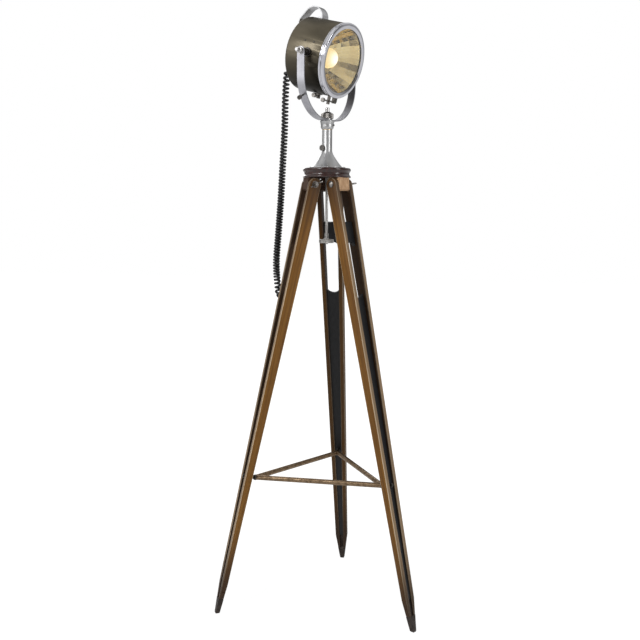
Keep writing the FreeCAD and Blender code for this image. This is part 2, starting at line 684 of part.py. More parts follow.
save("swivel_hand_nut", nut.fuse(dome).cut(rod(STUD_R + RUN, NUT_Z - 1, NUT_Z + 60)))

# ==== Yoke ====


def yoke():
    """U strap with square corners rounded to a wide bend and ears rounded about the pivot bolts."""
    def ring(inset):
        y = YOKE_HALF - inset
        z = YOKE_Z + inset
        r = YOKE_BEND_R - inset
        q = r * (1 - math.sqrt(0.5))
        up = PIVOT_Z + YOKE_W / 2 + 2 * inset
        flat = y - r
        top_a = V(0, -y, up)
        top_b = V(0, y, up)
        return [Part.makeLine(top_a, V(0, -y, z + r)),
                Part.Arc(V(0, -y, z + r), V(0, -y + q, z + q), V(0, -flat, z)).toShape(),
                Part.makeLine(V(0, -flat, z), V(0, flat, z)),
                Part.Arc(V(0, flat, z), V(0, y - q, z + q), V(0, y, z + r)).toShape(),
                Part.makeLine(V(0, y, z + r), top_b),
                Part.makeLine(top_b, top_a)]
    outer = Part.Face(Part.Wire(ring(0))).extrude(V(YOKE_W, 0, 0))
    inner = Part.Face(Part.Wire(ring(YOKE_T))).extrude(V(YOKE_W + 2, 0, 0))
    outer.translate(V(-YOKE_W / 2, 0, 0))
    inner.translate(V(-YOKE_W / 2 - 1, 0, 0))
    strap = outer.cut(inner)
    ear = placed(rod(YOKE_W / 2, -REACH, REACH), TO_FAR)
    ear.translate(V(0, 0, PIVOT_Z))
    strap = strap.common(ear.fuse(block(-REACH, REACH, -REACH, REACH, 0, PIVOT_Z)))
    bolt = placed(rod(PIVOT_BOLT_R + RUN, -REACH, REACH), TO_FAR)
    bolt.translate(V(0, 0, PIVOT_Z))
    strap = strap.cut(bolt).cut(rod(STUD_R + FIT, YOKE_Z - 5, YOKE_Z + 10))
    return strap.cut(side_screw_place(rod(SIDE_SHANK_R + RUN, -20, 20)))


def side_screw_place(shape):
    """Put a shape built on Z on the near arm's bend, with Z along the strap's outward normal."""
    a = math.radians(SIDE_SCREW_ANGLE)
    y = -(YOKE_HALF - YOKE_BEND_R) - YOKE_BEND_R * math.cos(a)
    z = YOKE_Z + YOKE_BEND_R - YOKE_BEND_R * math.sin(a)
    turn = FreeCAD.Rotation(V(1, 0, 0), 90 + SIDE_SCREW_ANGLE)
    return placed(shape, FreeCAD.Placement(V(0, y, z), turn))


save("yoke", placed(yoke(), YOKE))
side_screw = knurled(SIDE_KNOB_R, SIDE_KNOB_OUT, SIDE_KNOB_OUT + SIDE_KNOB_T, 18, 0.45, 0.7)
side_screw = side_screw.fuse(rod(SIDE_SHANK_R, -YOKE_T - 6.5, SIDE_KNOB_OUT + 2))
save("yoke_side_screw", placed(side_screw_place(side_screw), YOKE))
side_nut = hex_prism(8.0, -YOKE_T - 5.0, -YOKE_T - 0.9).cut(rod(SIDE_SHANK_R + RUN, -20, 20))
save("yoke_side_nut", placed(side_screw_place(side_nut), YOKE))

# ==== Lamp head (lamp frame) ====
X0 = DRUM_BACK_X
X1 = DRUM_FRONT_X
R = DRUM_R
E = DRUM_EDGE_R
T = DRUM_WALL
S = SPIGOT_R
Q = 1 - math.sqrt(0.5)
housing = turned((0, X0), (R - E, X0), ((R - E * Q, X0 + E * Q), (R, X0 + E)), (R, X1 - 0.4), (R - 0.4, X1),
                 (S, X1), (S, X1 + SPIGOT_L), (S - T, X1 + SPIGOT_L), (S - T, X1 - T), (R - T, X1 - T),
                 (R - T, X0 + E), ((R - T - (E - T) * Q, X0 + T + (E - T) * Q), (R - E, X0 + T)), (0, X0 + T))
housing = placed(housing, TO_X)


def across_drum(r, x, z, side):
    """Cylinder through one side wall of the drum, along the pivot axis."""
    shape = placed(rod(r, R - 40, R + 60), TO_NEAR if side < 0 else TO_FAR)
    shape.translate(V(x, 0, z))
    return shape


def rivet_place(shape, x, z, side):
    """Put a shape built on Z on the drum's side wall, with Z straight out of the wall at a height z."""
    angle = math.degrees(math.asin(z / R))
    turn = FreeCAD.Rotation(V(1, 0, 0), -side * 90 + side * angle)
    return placed(shape, FreeCAD.Placement(V(x, 0, 0), turn))


def rivet(x, z, side):
    """Domed rivet through the drum's wall and the trunnion plate."""
    shank = rod(RIVET_SHANK_R, R - T - TRUNNION_T - 0.2, R + 0.4)
    return rivet_place(dome_head(RIVET_HEAD_R, 1.4, R + FIT).fuse(shank), x, z, side)


def rivet_hole(x, z, side):
    """Hole that a rivet's shank fills."""
    return rivet_place(rod(RIVET_SHANK_R + FIT, R - 12, R + 5), x, z, side)


RIVETS = [(x, z, side) for side in (-1, 1) for x in RIVET_X for z in (RIVET_Z, -RIVET_Z)]
trunnions = {}
for side in (-1, 1):
    low, high = sorted((side * (R - 30), side * (R + 5)))
    x_mid = sum(RIVET_X) / 2
    half = TRUNNION_W / 2
    shape = placed(tube(R - T - FIT, R - T - TRUNNION_T, x_mid - half, x_mid + half), TO_X)
    shape = shape.common(block(-60, 60, low, high, -TRUNNION_H / 2, TRUNNION_H / 2))
    boss = placed(rod(TRUNNION_BOSS_R, R - T - TRUNNION_T - TRUNNION_BOSS_H, R - T - TRUNNION_T + 1.0),
                  TO_NEAR if side < 0 else TO_FAR)
    shape = shape.fuse(boss).cut(across_drum(PIVOT_BOLT_R + FIT, 0, 0, side))
    for x, z, s in RIVETS:
        if s == side:
            shape = shape.cut(rivet_hole(x, z, s))
    trunnions[side] = shape
    housing = housing.cut(across_drum(PIVOT_BOLT_R + FIT, 0, 0, side))
for x, z, s in RIVETS:
    housing = housing.cut(rivet_hole(x, z, s))


def pivot_set(side):
    """Bolt, bush, washer and thumb nut of one pivot, outwards along the pivot axis."""
    arm_in = YOKE_HALF - YOKE_T
    inner = R - T - TRUNNION_T - TRUNNION_BOSS_H
    washer_at = YOKE_HALF + GAP
    nut_at = washer_at + PIVOT_WASHER_T + GAP
    tip = YOKE_HALF + PIVOT_BOLT_OUT
    point = Part.makeCone(PIVOT_BOLT_R, PIVOT_BOLT_R - 1, 1, V(0, 0, tip - 1))
    bolt = rod(PIVOT_BOLT_R, inner + 1, tip - 1).fuse(point)
    bush = rod(BUSH_R, R - 8, arm_in - GAP).fuse(rod(BUSH_FOOT_R, R - 8, R + BUSH_FOOT_H))
    bush = bush.cut(rod(PIVOT_BOLT_R + FIT, 0, 200))
    washer = tube(PIVOT_WASHER_R, PIVOT_BOLT_R + FIT, washer_at, washer_at + PIVOT_WASHER_T)
    nut = turned((0, nut_at), (PIVOT_NUT_R, nut_at), (PIVOT_NUT_R, nut_at + PIVOT_NUT_H - 2.5),
                 ((PIVOT_NUT_R - 0.8, nut_at + PIVOT_NUT_H - 0.7), (PIVOT_GRIP_R, nut_at + PIVOT_NUT_H)),
                 (0, nut_at + PIVOT_NUT_H))
    grip_at = nut_at + PIVOT_NUT_H
    grip = knurled(PIVOT_GRIP_R, grip_at - 0.5, grip_at + PIVOT_GRIP_H, 20, 0.5, 0.6)
    nut = nut.fuse(grip).cut(rod(PIVOT_BOLT_R + RUN, 0, 200))
    way = TO_NEAR if side < 0 else TO_FAR
    saddle = placed(rod(R + FIT, -60, 60), TO_X)
    return {"bolt": placed(bolt, way), "bush": placed(bush, way).cut(saddle),
            "washer": placed(washer, way), "nut": placed(nut, way)}


near = pivot_set(-1)
far = pivot_set(1)
save("pivot_bolts", placed(near["bolt"], LAMP), placed(far["bolt"], LAMP))
save("pivot_bushes", placed(near["bush"], LAMP), placed(far["bush"], LAMP))
save("pivot_washers", placed(near["washer"], LAMP), placed(far["washer"], LAMP))
save("near_pivot_nut", placed(near["nut"], LAMP))
save("far_pivot_nut", placed(far["nut"], LAMP))
save("trunnion_plates", placed(trunnions[-1], LAMP), placed(trunnions[1], LAMP))
save("drum_rivets", *[placed(rivet(x, z, s), LAMP) for x, z, s in RIVETS])


# ---- Grab handle ----
def handle():
    """Strap that rises from the drum's top, slopes down behind it and turns in to the drum's back."""
    def on(centre, r, degrees):
        a = math.radians(degrees)
        return (centre[0] + r * math.cos(a), centre[1] + r * math.sin(a))

    way = (HANDLE_REAR[0] - HANDLE_FRONT[0], HANDLE_REAR[1] - HANDLE_FRONT[1])
    slope = math.degrees(math.atan2(way[1], way[0])) % 360
    slope -= math.degrees(math.acos((HANDLE_FRONT_R - HANDLE_REAR_R) / math.hypot(way[0], way[1])))

    def side_line(inset):
        r = HANDLE_FRONT_R - inset
        q = HANDLE_REAR_R - inset
        start = math.degrees(math.asin((DRUM_R - HANDLE_FRONT[1]) / r))
        return [on(HANDLE_FRONT, r, start), on(HANDLE_FRONT, r, (start + slope) / 2),
                on(HANDLE_FRONT, r, slope), on(HANDLE_REAR, q, slope), on(HANDLE_REAR, q, (slope + 270) / 2),
                on(HANDLE_REAR, q, 270), (X0 - FIT, HANDLE_REAR[1] - q)]
    a = side_line(0)
    b = side_line(HANDLE_T)
    face = outline(a[0], (a[1], a[2]), a[3], (a[4], a[5]), a[6], b[6], b[5], (b[4], b[3]), b[2], (b[1], b[0]))
    face.translate(V(0, -HANDLE_W / 2, 0))
    strap = face.extrude(V(0, HANDLE_W, 0))
    half_w = HANDLE_W / 2
    front_x = a[0][0]
    rear_z = a[6][1]
    front = block(front_x - HANDLE_FOOT_L, front_x, -half_w, half_w, R - 3, R + HANDLE_T)
    rear = block(X0 - HANDLE_T, X0 - FIT, -half_w, half_w, rear_z - HANDLE_FOOT_L, rear_z + HANDLE_T)
    drum = placed(rod(R + FIT, X0, X1), TO_X)
    strap = strap.fuse([front, rear]).cut(drum)
    front_at = (front_x - 0.55 * HANDLE_FOOT_L, R + HANDLE_T)
    rear_at = (X0 - HANDLE_T, rear_z - 0.5 * HANDLE_FOOT_L)
    return strap, front_at, rear_at


def handle_screw(extra=0.0):
    """Round-head screw built on Z, its head standing on z = 0."""
    shank = rod(HANDLE_SCREW_R + extra, -HANDLE_T - 8, 0.4)
    return shank if extra else shank.fuse(dome_head(HANDLE_SCREW_HEAD_R, HANDLE_SCREW_HEAD_H, FIT))


strap, front_at, rear_at = handle()
SCREW_UP = FreeCAD.Placement(V(front_at[0], 0, front_at[1]), FreeCAD.Rotation())
SCREW_BACK = FreeCAD.Placement(V(rear_at[0], 0, rear_at[1]), FreeCAD.Rotation(V(0, 1, 0), -90))
for spot in (SCREW_UP, SCREW_BACK):
    strap = strap.cut(placed(handle_screw(FIT), spot))
    housing = housing.cut(placed(handle_screw(FIT), spot))
save("grab_handle", placed(strap, LAMP))
handle_screws = [placed(placed(handle_screw(), spot), LAMP) for spot in (SCREW_UP, SCREW_BACK)]

# ---- Underside bracket and thumb screw ----
half = BRACKET_L / 2
bracket = block(BRACKET_X - half, BRACKET_X + half, BRACKET_Y[0], BRACKET_Y[1], -BRACKET_DROP, -R + 4)
foot_half = half + 5
bracket_foot = block(BRACKET_X - foot_half, BRACKET_X + foot_half, BRACKET_Y[0] - 1, BRACKET_Y[1] + 1,
                     -R - 2, -R + 4)
bracket = bracket.fuse(bracket_foot).cut(placed(rod(R + FIT, X0, X1), TO_X))
DOWN_Z = -THUMB_DROP
thumb_hole = placed(rod(THUMB_SHANK_R + RUN, -30, 30), TO_NEAR)
thumb_hole.translate(V(BRACKET_X, 0, DOWN_Z))
save("underside_bracket", placed(bracket.cut(thumb_hole), LAMP))
thumb_shank = rod(THUMB_SHANK_R, -BRACKET_Y[1] - 2, -THUMB_Y - 2)
thumb = placed(knurled(THUMB_R, -THUMB_Y - THUMB_T, -THUMB_Y, 20, 0.5, 0.8).fuse(thumb_shank), TO_NEAR)
thumb.translate(V(BRACKET_X, 0, DOWN_Z))
save("underside_thumb_screw", placed(thumb, LAMP))

# ---- Bezel, lens and clamp screw ----
F = BEZEL_FRONT_X
B = BEZEL_R
L = BEZEL_LIP_R
N = BEZEL_BORE_R
REAR = X1 + GAP
BEAD = BEZEL_BEAD_R
bezel = turned((N, REAR), (BEAD - 0.5, REAR), ((BEAD, REAR + 1.2), (BEAD - 0.5, REAR + 2.4)),
               (B, REAR + 3.0), (B, F - 8.0), ((B + 0.7, F - 7.0), (L - 0.6, F - 6.2)),
               ((L, F - 3.4), (L - 2.0, F - 0.7)), ((L - 5.2, F), (GLASS_OPEN_R + 3.0, F - 0.8)),
               (GLASS_OPEN_R, F - 1.6), (GLASS_OPEN_R, F - BEZEL_LIP_T), (N, F - BEZEL_LIP_T))
slit_mid = NEAR_LUG_Y[1] + 4.0
bezel = placed(bezel, TO_X)
bezel = bezel.cut(block(REAR - 1, F - 8.5, slit_mid - SLIT_W / 2, slit_mid + SLIT_W / 2, -130, -80))
near_lug = block(LUG_X[0], LUG_X[1], NEAR_LUG_Y[0], NEAR_LUG_Y[1], -NEAR_LUG_DROP, -90)
profile = outline((LUG_X[0], -90), (LUG_X[1], -90), (LUG_X[1], -FAR_LUG_DROP + 3),
                  (LUG_X[1] - 2, -FAR_LUG_DROP - 2), (LUG_X[0], -FAR_LUG_DROP - 2))
profile.translate(V(0, FAR_LUG_Y[0], 0))
far_lug = profile.extrude(V(0, FAR_LUG_Y[1] - FAR_LUG_Y[0], 0))
keep_out = rod(B + FIT, 0, F).fuse([rod(BEAD + FIT, 0, REAR + 3.0 + FIT), rod(L + FIT, F - 8.0 - FIT, F)])
keep_out = placed(keep_out, TO_X)
clamp_x = (LUG_X[0] + LUG_X[1]) / 2


def clamp_place(shape):
    """Put a shape built on Z on the clamp screw's axis, with Z towards the near side."""
    shape = placed(shape, TO_NEAR)
    shape.translate(V(clamp_x, 0, -CLAMP_DROP))
    return shape


clamp_hole = clamp_place(rod(CLAMP_SCREW_R + RUN, -60, 60))
near_lug = near_lug.cut(keep_out).cut(clamp_hole)
far_lug = far_lug.cut(keep_out).cut(clamp_hole)
save("bezel_ring", placed(bezel, LAMP))
save("bezel_lugs", placed(near_lug, LAMP), placed(far_lug, LAMP))
knob_at = -CLAMP_KNOB_Y - CLAMP_KNOB_T / 2
clamp = knurled(CLAMP_KNOB_R, knob_at, knob_at + CLAMP_KNOB_T, 16, 0.5, 0.8)
clamp = clamp.fuse(rod(CLAMP_SCREW_R, -FAR_LUG_Y[1] + 2, -CLAMP_KNOB_Y))
save("bezel_clamp_screw", placed(clamp_place(clamp), LAMP))

GLASS_BACK = F - BEZEL_LIP_T - 0.2 - GLASS_T
GASKET_BACK = GLASS_BACK - 0.1 - GASKET_T
RETAINER_BACK = GASKET_BACK - 0.1 - RETAINER_T
OPEN = GLASS_OPEN_R - 1.0
inner_face = crown(OPEN, GLASS_BACK, GLASS_BACK + GLASS_RISE)
glass = turned(inner_face[1], (inner_face[0], (OPEN, GLASS_BACK)),
               (GLASS_R, GLASS_BACK), (GLASS_R, GLASS_BACK + GLASS_T), (OPEN, GLASS_BACK + GLASS_T),
               crown(OPEN, GLASS_BACK + GLASS_T, GLASS_BACK + GLASS_T + GLASS_RISE))
save("lens_glass", placed(placed(glass, TO_X), LAMP))
gasket = tube(GLASS_R, GLASS_OPEN_R + 1.0, GASKET_BACK, GASKET_BACK + GASKET_T)
save("lens_gasket", placed(placed(gasket, TO_X), LAMP))
retainer = tube(BEZEL_BORE_R - FIT, RETAINER_IN_R, RETAINER_BACK, RETAINER_BACK + RETAINER_T)
save("lens_retainer", placed(placed(retainer, TO_X), LAMP))

# ---- Reflector ----
FLANGE_X = X1 + SPIGOT_L + 0.1
FOCUS = REFLECTOR_RIM_R ** 2 / (4 * (FLANGE_X - REFLECTOR_APEX_X))


def bowl_points(offset, radii):
    """Points of the reflector's parabola, set back by an offset along its normal."""
    points = []
    for r in radii:
        slope = r / (2 * FOCUS)
        k = math.hypot(1, slope)
        points.append(V(r + offset * slope / k, 0, REFLECTOR_APEX_X + r * r / (4 * FOCUS) - offset / k))
    return points


STEPS = 8
RADII = [REFLECTOR_HOLE_R + (REFLECTOR_RIM_R - REFLECTOR_HOLE_R) * k / STEPS for k in range(STEPS + 1)]
inside = bowl_points(0, RADII)
outside = bowl_points(REFLECTOR_T, RADII)
curves = []
for points in (inside, outside):
    curve = Part.BSplineCurve()
    curve.interpolate(points)
    curves.append(curve.toShape())
front_in = V(inside[-1].x, 0, inside[-1].z + REFLECTOR_T)
ring = [inside[-1], front_in, V(REFLECTOR_FLANGE_R, 0, front_in.z), V(REFLECTOR_FLANGE_R, 0, FLANGE_X),
        V(outside[-1].x, 0, FLANGE_X), outside[-1]]
lines = [Part.makeLine(a, b) for a, b in zip(ring, ring[1:]) if a.distanceToPoint(b) > 1e-6]
lines.append(Part.makeLine(outside[0], inside[0]))
face = Part.Face(Part.Wire(Part.__sortEdges__(curves + lines)))
reflector = face.revolve(V(0, 0, 0), V(0, 0, 1), 360)
save("reflector", placed(placed(reflector, TO_X), LAMP))

# ---- Lamp holder and bulb ----
BACK_IN = X0 + T
HOLDER_BACK = BACK_IN + HOLDER_PLATE_T + 2 * FIT
mount_plate = tube(HOLDER_PLATE_R, HOLDER_BORE_R - 8, BACK_IN + FIT, BACK_IN + FIT + HOLDER_PLATE_T)
holder = rod(HOLDER_R, HOLDER_BACK, HOLDER_BACK + HOLDER_L)
holder = holder.cut(rod(HOLDER_BORE_R, HOLDER_BACK + HOLDER_FLOOR, HOLDER_BACK + HOLDER_L + 1))


def holder_screw(y, extra=0.0):
    """Screw through the drum's back and the holder's plate, built in the lamp frame."""
    shank = rod(HOLDER_SCREW_R + extra, X0 - 0.4, BACK_IN + HOLDER_PLATE_T + 5)
    head = placed(dome_head(2 * HOLDER_SCREW_R, 1.8, -X0 + FIT), FLIP)
    shape = shank if extra else shank.fuse(head)
    shape = placed(shape, TO_X)
    shape.translate(V(0, y, 0))
    return shape


mount_plate = placed(mount_plate, TO_X)
for y in (-HOLDER_SCREW_OUT, HOLDER_SCREW_OUT):
    mount_plate = mount_plate.cut(holder_screw(y, FIT))
    housing = housing.cut(holder_screw(y, FIT))
save("holder_plate", placed(mount_plate, LAMP))
save("lamp_holder", placed(placed(holder, TO_X), LAMP))
holder_screws = [placed(holder_screw(y), LAMP) for y in (-HOLDER_SCREW_OUT, HOLDER_SCREW_OUT)]
save("drum_screws", *(handle_screws + holder_screws))
CAP_BACK = HOLDER_BACK + HOLDER_FLOOR + 0.2
CAP_FRONT = CAP_BACK + BULB_CAP_L
cap = turned((0, CAP_BACK), (4.5, CAP_BACK), (BULB_CAP_R, CAP_BACK + 5), (BULB_CAP_R, CAP_FRONT),
             (0, CAP_FRONT))
save("bulb_cap", placed(placed(cap, TO_X), LAMP))
waist = math.sqrt(BULB_R ** 2 - (BULB_R * 0.8) ** 2)
bulb = turned((0, CAP_FRONT), (BULB_NECK_R, CAP_FRONT), (BULB_NECK_R + 1.0, CAP_FRONT + 6),
              (waist, BULB_CENTRE_X - BULB_R * 0.8),
              ((BULB_R, BULB_CENTRE_X), (0, BULB_CENTRE_X + BULB_R)))
save("bulb_glass", placed(placed(bulb, TO_X), LAMP))

# ==== Curly cord and its ends ====
gland = turned((0, 0), (GLAND_R, 0), (GLAND_R, 5), (GLAND_R - 1.8, 6.5), (GLAND_TIP_R + 1, 9),
               (GLAND_TIP_R, GLAND_L), (0, GLAND_L))
GLAND_PLACE = FreeCAD.Placement(V(X0 - FIT, 0, -GLAND_DROP), FreeCAD.Rotation(V(0, 1, 0), -90))
gland_hole = placed(rod(4.0, -5, 5), GLAND_PLACE)
housing = housing.cut(gland_hole)
save("drum_housing", placed(housing, LAMP))
save("cord_gland", placed(placed(gland, GLAND_PLACE), LAMP))

LEFT = leg_place(LEGS["left"])
BOX_S = along(BOX_Z)
face_y = -(inner_half(BOX_S) + BOARD_T)
box = block(-BOX_W / 2, BOX_W / 2, -BOX_T, 0, -BOX_L / 2, BOX_L / 2)
box = box.cut(block(-BOX_W / 2 + BOX_WALL, BOX_W / 2 - BOX_WALL, -BOX_T + BOX_WALL, -1.0,
                    -BOX_L / 2 + INLET_L, BOX_L / 2 - BOX_WALL))
box = box.cut(Part.makeCylinder(INLET_R, INLET_L + 10, V(0, -BOX_T / 2, -BOX_L / 2 - 5)))
BOX_PLACE = FreeCAD.Placement(V(BOX_X, face_y - 0.25, BOX_S), FreeCAD.Rotation(V(1, 0, 0), BOARD_LEAN))
save("leg_junction_box", placed(placed(box, BOX_PLACE), LEFT))
stub = Part.makeCone(BOX_GLAND_R, GLAND_TIP_R, BOX_GLAND_L, V(0, -BOX_T - FIT, BOX_GLAND_UP), V(0, -1, 0))
save("leg_cord_gland", placed(placed(stub, BOX_PLACE), LEFT))


def quarter_bend(start, way, toward, radius):
    """Points of a bend that leaves start along way and turns until it runs against toward."""
    centre = start.add(way * 2.0).add(toward * radius)
    points = [start, start.add(way * 2.0)]
    for turn in (30.0, 60.0, 85.0):
        a = math.radians(turn)
        points.append(centre.sub(toward * (radius * math.cos(a))).add(way * (radius * math.sin(a))))
    return points


def cord_axis():
    """Smooth centre line of the curls, from the lamp's gland to the leg's gland."""
    tip = LAMP.multVec(V(X0 - FIT - GLAND_L - GAP, 0, -GLAND_DROP))
    back = LAMP.Rotation.multVec(V(-1, 0, 0))
    down = LAMP.Rotation.multVec(V(0, 0, -1))
    end = LEFT.multVec(BOX_PLACE.multVec(V(0, -BOX_T - FIT - BOX_GLAND_L - GAP, BOX_GLAND_UP)))
    out = LEFT.Rotation.multVec(BOX_PLACE.Rotation.multVec(V(0, -1, 0)))
    rise = V(0, 0, 1).sub(out * out.z).normalize()
    points = quarter_bend(tip, back, down, BEND_R) + [V(*p) for p in CORD_ROUTE]
    points += reversed(quarter_bend(end, out, rise, LOW_BEND_R))
    curve = Part.BSplineCurve()
    curve.interpolate(points)
    return curve


def samples(curve, step):
    """Evenly spaced points and directions on a curve."""
    n = int(curve.length() / step)
    found = []
    for k in range(n + 1):
        u = curve.parameterAtDistance(curve.length() * k / n)
        found.append((curve.value(u), curve.tangent(u)[0]))
    return found


def carried_frames(line):
    """A steady cross direction at each sample, with no twist about the line."""
    first = line[0][1]
    cross = first.cross(V(0, 0, 1)).normalize()
    frames = []
    for point, way in line:
        cross = cross.sub(way * cross.dot(way)).normalize()
        frames.append((point, way, cross, way.cross(cross)))
    return frames


def pitch_at(t):
    """Curl pitch along the cord: opened by its weight near the top and by the bends at both ends."""
    places = [(0.0, PITCH_ENDS), (0.06, PITCH_ENDS), (0.09, PITCH_TOP), (0.15, PITCH_TOP),
              (0.35, PITCH_MIDDLE), (0.60, PITCH_LOW), (0.87, PITCH_LOW), (0.93, PITCH_ENDS), (1.0, PITCH_ENDS)]
    for (low, here), (high, there) in zip(places, places[1:]):
        if t < high:
            return here + (there - here) * (t - low) / (high - low)
    return PITCH_ENDS


def smooth(t):
    """Ease from 0 to 1."""
    t = max(0.0, min(1.0, t))
    return t * t * (3 - 2 * t)


def biarc(p0, t0, p1, t1):
    """Two arcs that join two points with given directions."""
    v = p1.sub(p0)
    t = t0.add(t1)
    a = 2 * (1 - t0.dot(t1))
    b = 2 * v.dot(t)
    d = (-b + math.sqrt(b * b + 4 * a * v.dot(v))) / (2 * a) if a > 1e-9 else v.dot(v) / (4 * v.dot(t1))
    q0 = p0.add(t0 * d)
    q1 = p1.sub(t1 * d)
    joint = q0.add(q1).multiply(0.5)
    edges = []
    radii = []
    for start, corner, end in ((p0, q0, joint), (joint, q1, p1)):
        chord = end.sub(start)
        leg = corner.sub(start)
        half = leg.getAngle(chord)
        if half < 1e-4:
            edges.append(Part.makeLine(start, end))
            continue
        middle = start.add(end).multiply(0.5)
        rise = corner.sub(middle).normalize() * (chord.Length / 2 * math.tan(half / 2))
        edges.append(Part.Arc(start, middle.add(rise), end).toShape())
        radii.append(chord.Length / 2 / math.sin(half))
    return edges, radii


def curly_cord():
    """One unbroken cord wound in curls about its centre line, with a straight start and end."""
    curve = cord_axis()
    step = 0.5
    frames = carried_frames(samples(curve, step))
    n = len(frames) - 1
    total = curve.length()
    lead = CORD_D
    angle = [0.0]
    for k in range(n):
        s = total * (k + 0.5) / n
        grow = 1.0 if lead < s < total - lead else 0.0
        angle.append(angle[-1] + grow * 2 * math.pi * (total / n) / pitch_at(s / total))
    turns = angle[-1] / (2 * math.pi)

    def helix(s):
        k = min(max(s / total * n, 0.0), n - 1e-6)
        i = int(k)
        f = k - i
        p = frames[i][0] * (1 - f) + frames[i + 1][0] * f
        c = frames[i][2] * (1 - f) + frames[i + 1][2] * f
        e = frames[i][3] * (1 - f) + frames[i + 1][3] * f
        a = angle[i] * (1 - f) + angle[i + 1] * f
        r = CURL_R * smooth((s - lead) / CURL_START) * smooth((total - lead - s) / CURL_START)
        return p.add(c * (r * math.cos(a))).add(e * (r * math.sin(a))), a

    def direction(s):
        h = 0.02
        return helix(min(s + h, total))[0].sub(helix(max(s - h, 0.0))[0]).normalize()
    stops = [lead]
    target = math.pi / 2
    s = lead
    while s < total - lead - 1.0:
        s += 0.05
        a = helix(s)[1]
        if a >= target:
            stops.append(s)
            near_end = s < lead + CURL_START + 3 or s > total - lead - CURL_START - 3
            target = a + (math.pi / 2 if near_end else math.pi)
    if total - lead - stops[-1] < 1.2:
        stops.pop()
    stops.append(total - lead)
    edges = []
    radii = []
    here, there = frames[0][0], helix(lead)[0]
    start_way = there.sub(here).normalize()
    edges.append(Part.makeLine(here, there))
    last_point, last_way = there, start_way
    final_way = frames[-1][0].sub(helix(total - lead)[0]).normalize()
    for s in stops[1:]:
        point = helix(s)[0]
        way = final_way if s == stops[-1] else direction(s)
        arcs, found = biarc(last_point, last_way, point, way)
        edges += arcs
        radii += found
        last_point, last_way = point, way
    edges.append(Part.makeLine(last_point, frames[-1][0]))
    path = Part.Wire(edges)
    profile = Part.Wire([Part.makeCircle(CORD_D / 2, here, start_way)])
    solid = path.makePipeShell([profile], True, False)
    bends = [curve.curvature(curve.parameterAtDistance(total * k / 400)) for k in range(1, 400)]
    print("cord: least bend radius of the axis", round(1 / max(bends), 1), "mm")
    print("cord: curls", round(turns, 1), "centre line", round(path.Length), "mm, axis", round(total), "mm")
    print("cord: least arc radius", round(min(radii), 3), "arcs", len(edges))
    section = math.pi * CORD_D ** 2 / 4
    print("cord: volume / (section x length)", round(solid.Volume / (section * path.Length), 4))
    points = path.discretize(Number=int(path.Length / 1.2))
    spacing = path.Length / (len(points) - 1)
    skip = int(10.0 / spacing)
    least = 1e9
    cells = {}
    for k, p in enumerate(points):
        cell = (int(p.x // 8), int(p.y // 8), int(p.z // 8))
        for dx in (-1, 0, 1):
            for dy in (-1, 0, 1):
                for dz in (-1, 0, 1):
                    for j in cells.get((cell[0] + dx, cell[1] + dy, cell[2] + dz), ()):
                        if k - j > skip:
                            least = min(least, p.distanceToPoint(points[j]))
        cells.setdefault(cell, []).append(k)
    print("cord: least gap to itself", round(least - CORD_D, 2), "mm")
    return solid


save("curly_cord", curly_cord())
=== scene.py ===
"""Looks of a tripod spotlight floor lamp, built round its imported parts. Lengths are in metres."""
import json
import math

import bmesh
import bpy
from mathutils import Matrix, Vector


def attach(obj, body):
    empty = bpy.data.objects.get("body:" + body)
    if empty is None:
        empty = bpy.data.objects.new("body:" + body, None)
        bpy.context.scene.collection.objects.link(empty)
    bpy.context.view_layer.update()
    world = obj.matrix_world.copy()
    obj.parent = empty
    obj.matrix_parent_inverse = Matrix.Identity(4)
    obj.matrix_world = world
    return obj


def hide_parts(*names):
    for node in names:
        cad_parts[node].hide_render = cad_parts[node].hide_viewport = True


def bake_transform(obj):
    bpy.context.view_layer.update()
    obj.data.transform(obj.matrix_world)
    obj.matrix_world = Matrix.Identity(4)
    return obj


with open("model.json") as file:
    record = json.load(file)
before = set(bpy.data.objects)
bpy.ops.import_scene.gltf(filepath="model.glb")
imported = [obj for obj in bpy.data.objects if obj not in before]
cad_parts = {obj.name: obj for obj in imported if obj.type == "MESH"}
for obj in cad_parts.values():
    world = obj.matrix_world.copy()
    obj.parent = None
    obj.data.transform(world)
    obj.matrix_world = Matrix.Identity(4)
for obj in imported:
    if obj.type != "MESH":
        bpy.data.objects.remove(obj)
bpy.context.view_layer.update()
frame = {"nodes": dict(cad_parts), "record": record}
PARTS = frame["nodes"]
BODY_OF_PART = {part: body
                for body, parts in frame["record"]["behaviour"]["bodies"].items()
                for part in parts}

UP = Vector((0.0, 0.0, 1.0))

# The three legs: azimuth of each, radius and height of its hinge, and how far it leans outwards.
LEG_AZIMUTH = {"back": 90.0, "left": 210.0, "right": 330.0}
LEG_HINGE_RADIUS = 0.0466
LEG_HINGE_HEIGHT = 1.222
LEG_SPLAY = math.atan2(0.2788, LEG_HINGE_HEIGHT)

# The lamp head: its pivot, the way it faces and how far it looks down.
LAMP_PIVOT = Vector((0.0, 0.0, 1.5728))
LAMP_TURN = Matrix.Rotation(math.radians(-22.54), 4, "Z") @ Matrix.Rotation(math.radians(15.15), 4, "Y")
LAMP_PLACE = Matrix.Translation(LAMP_PIVOT) @ LAMP_TURN


# ---- Nodes of materials and of the world ----

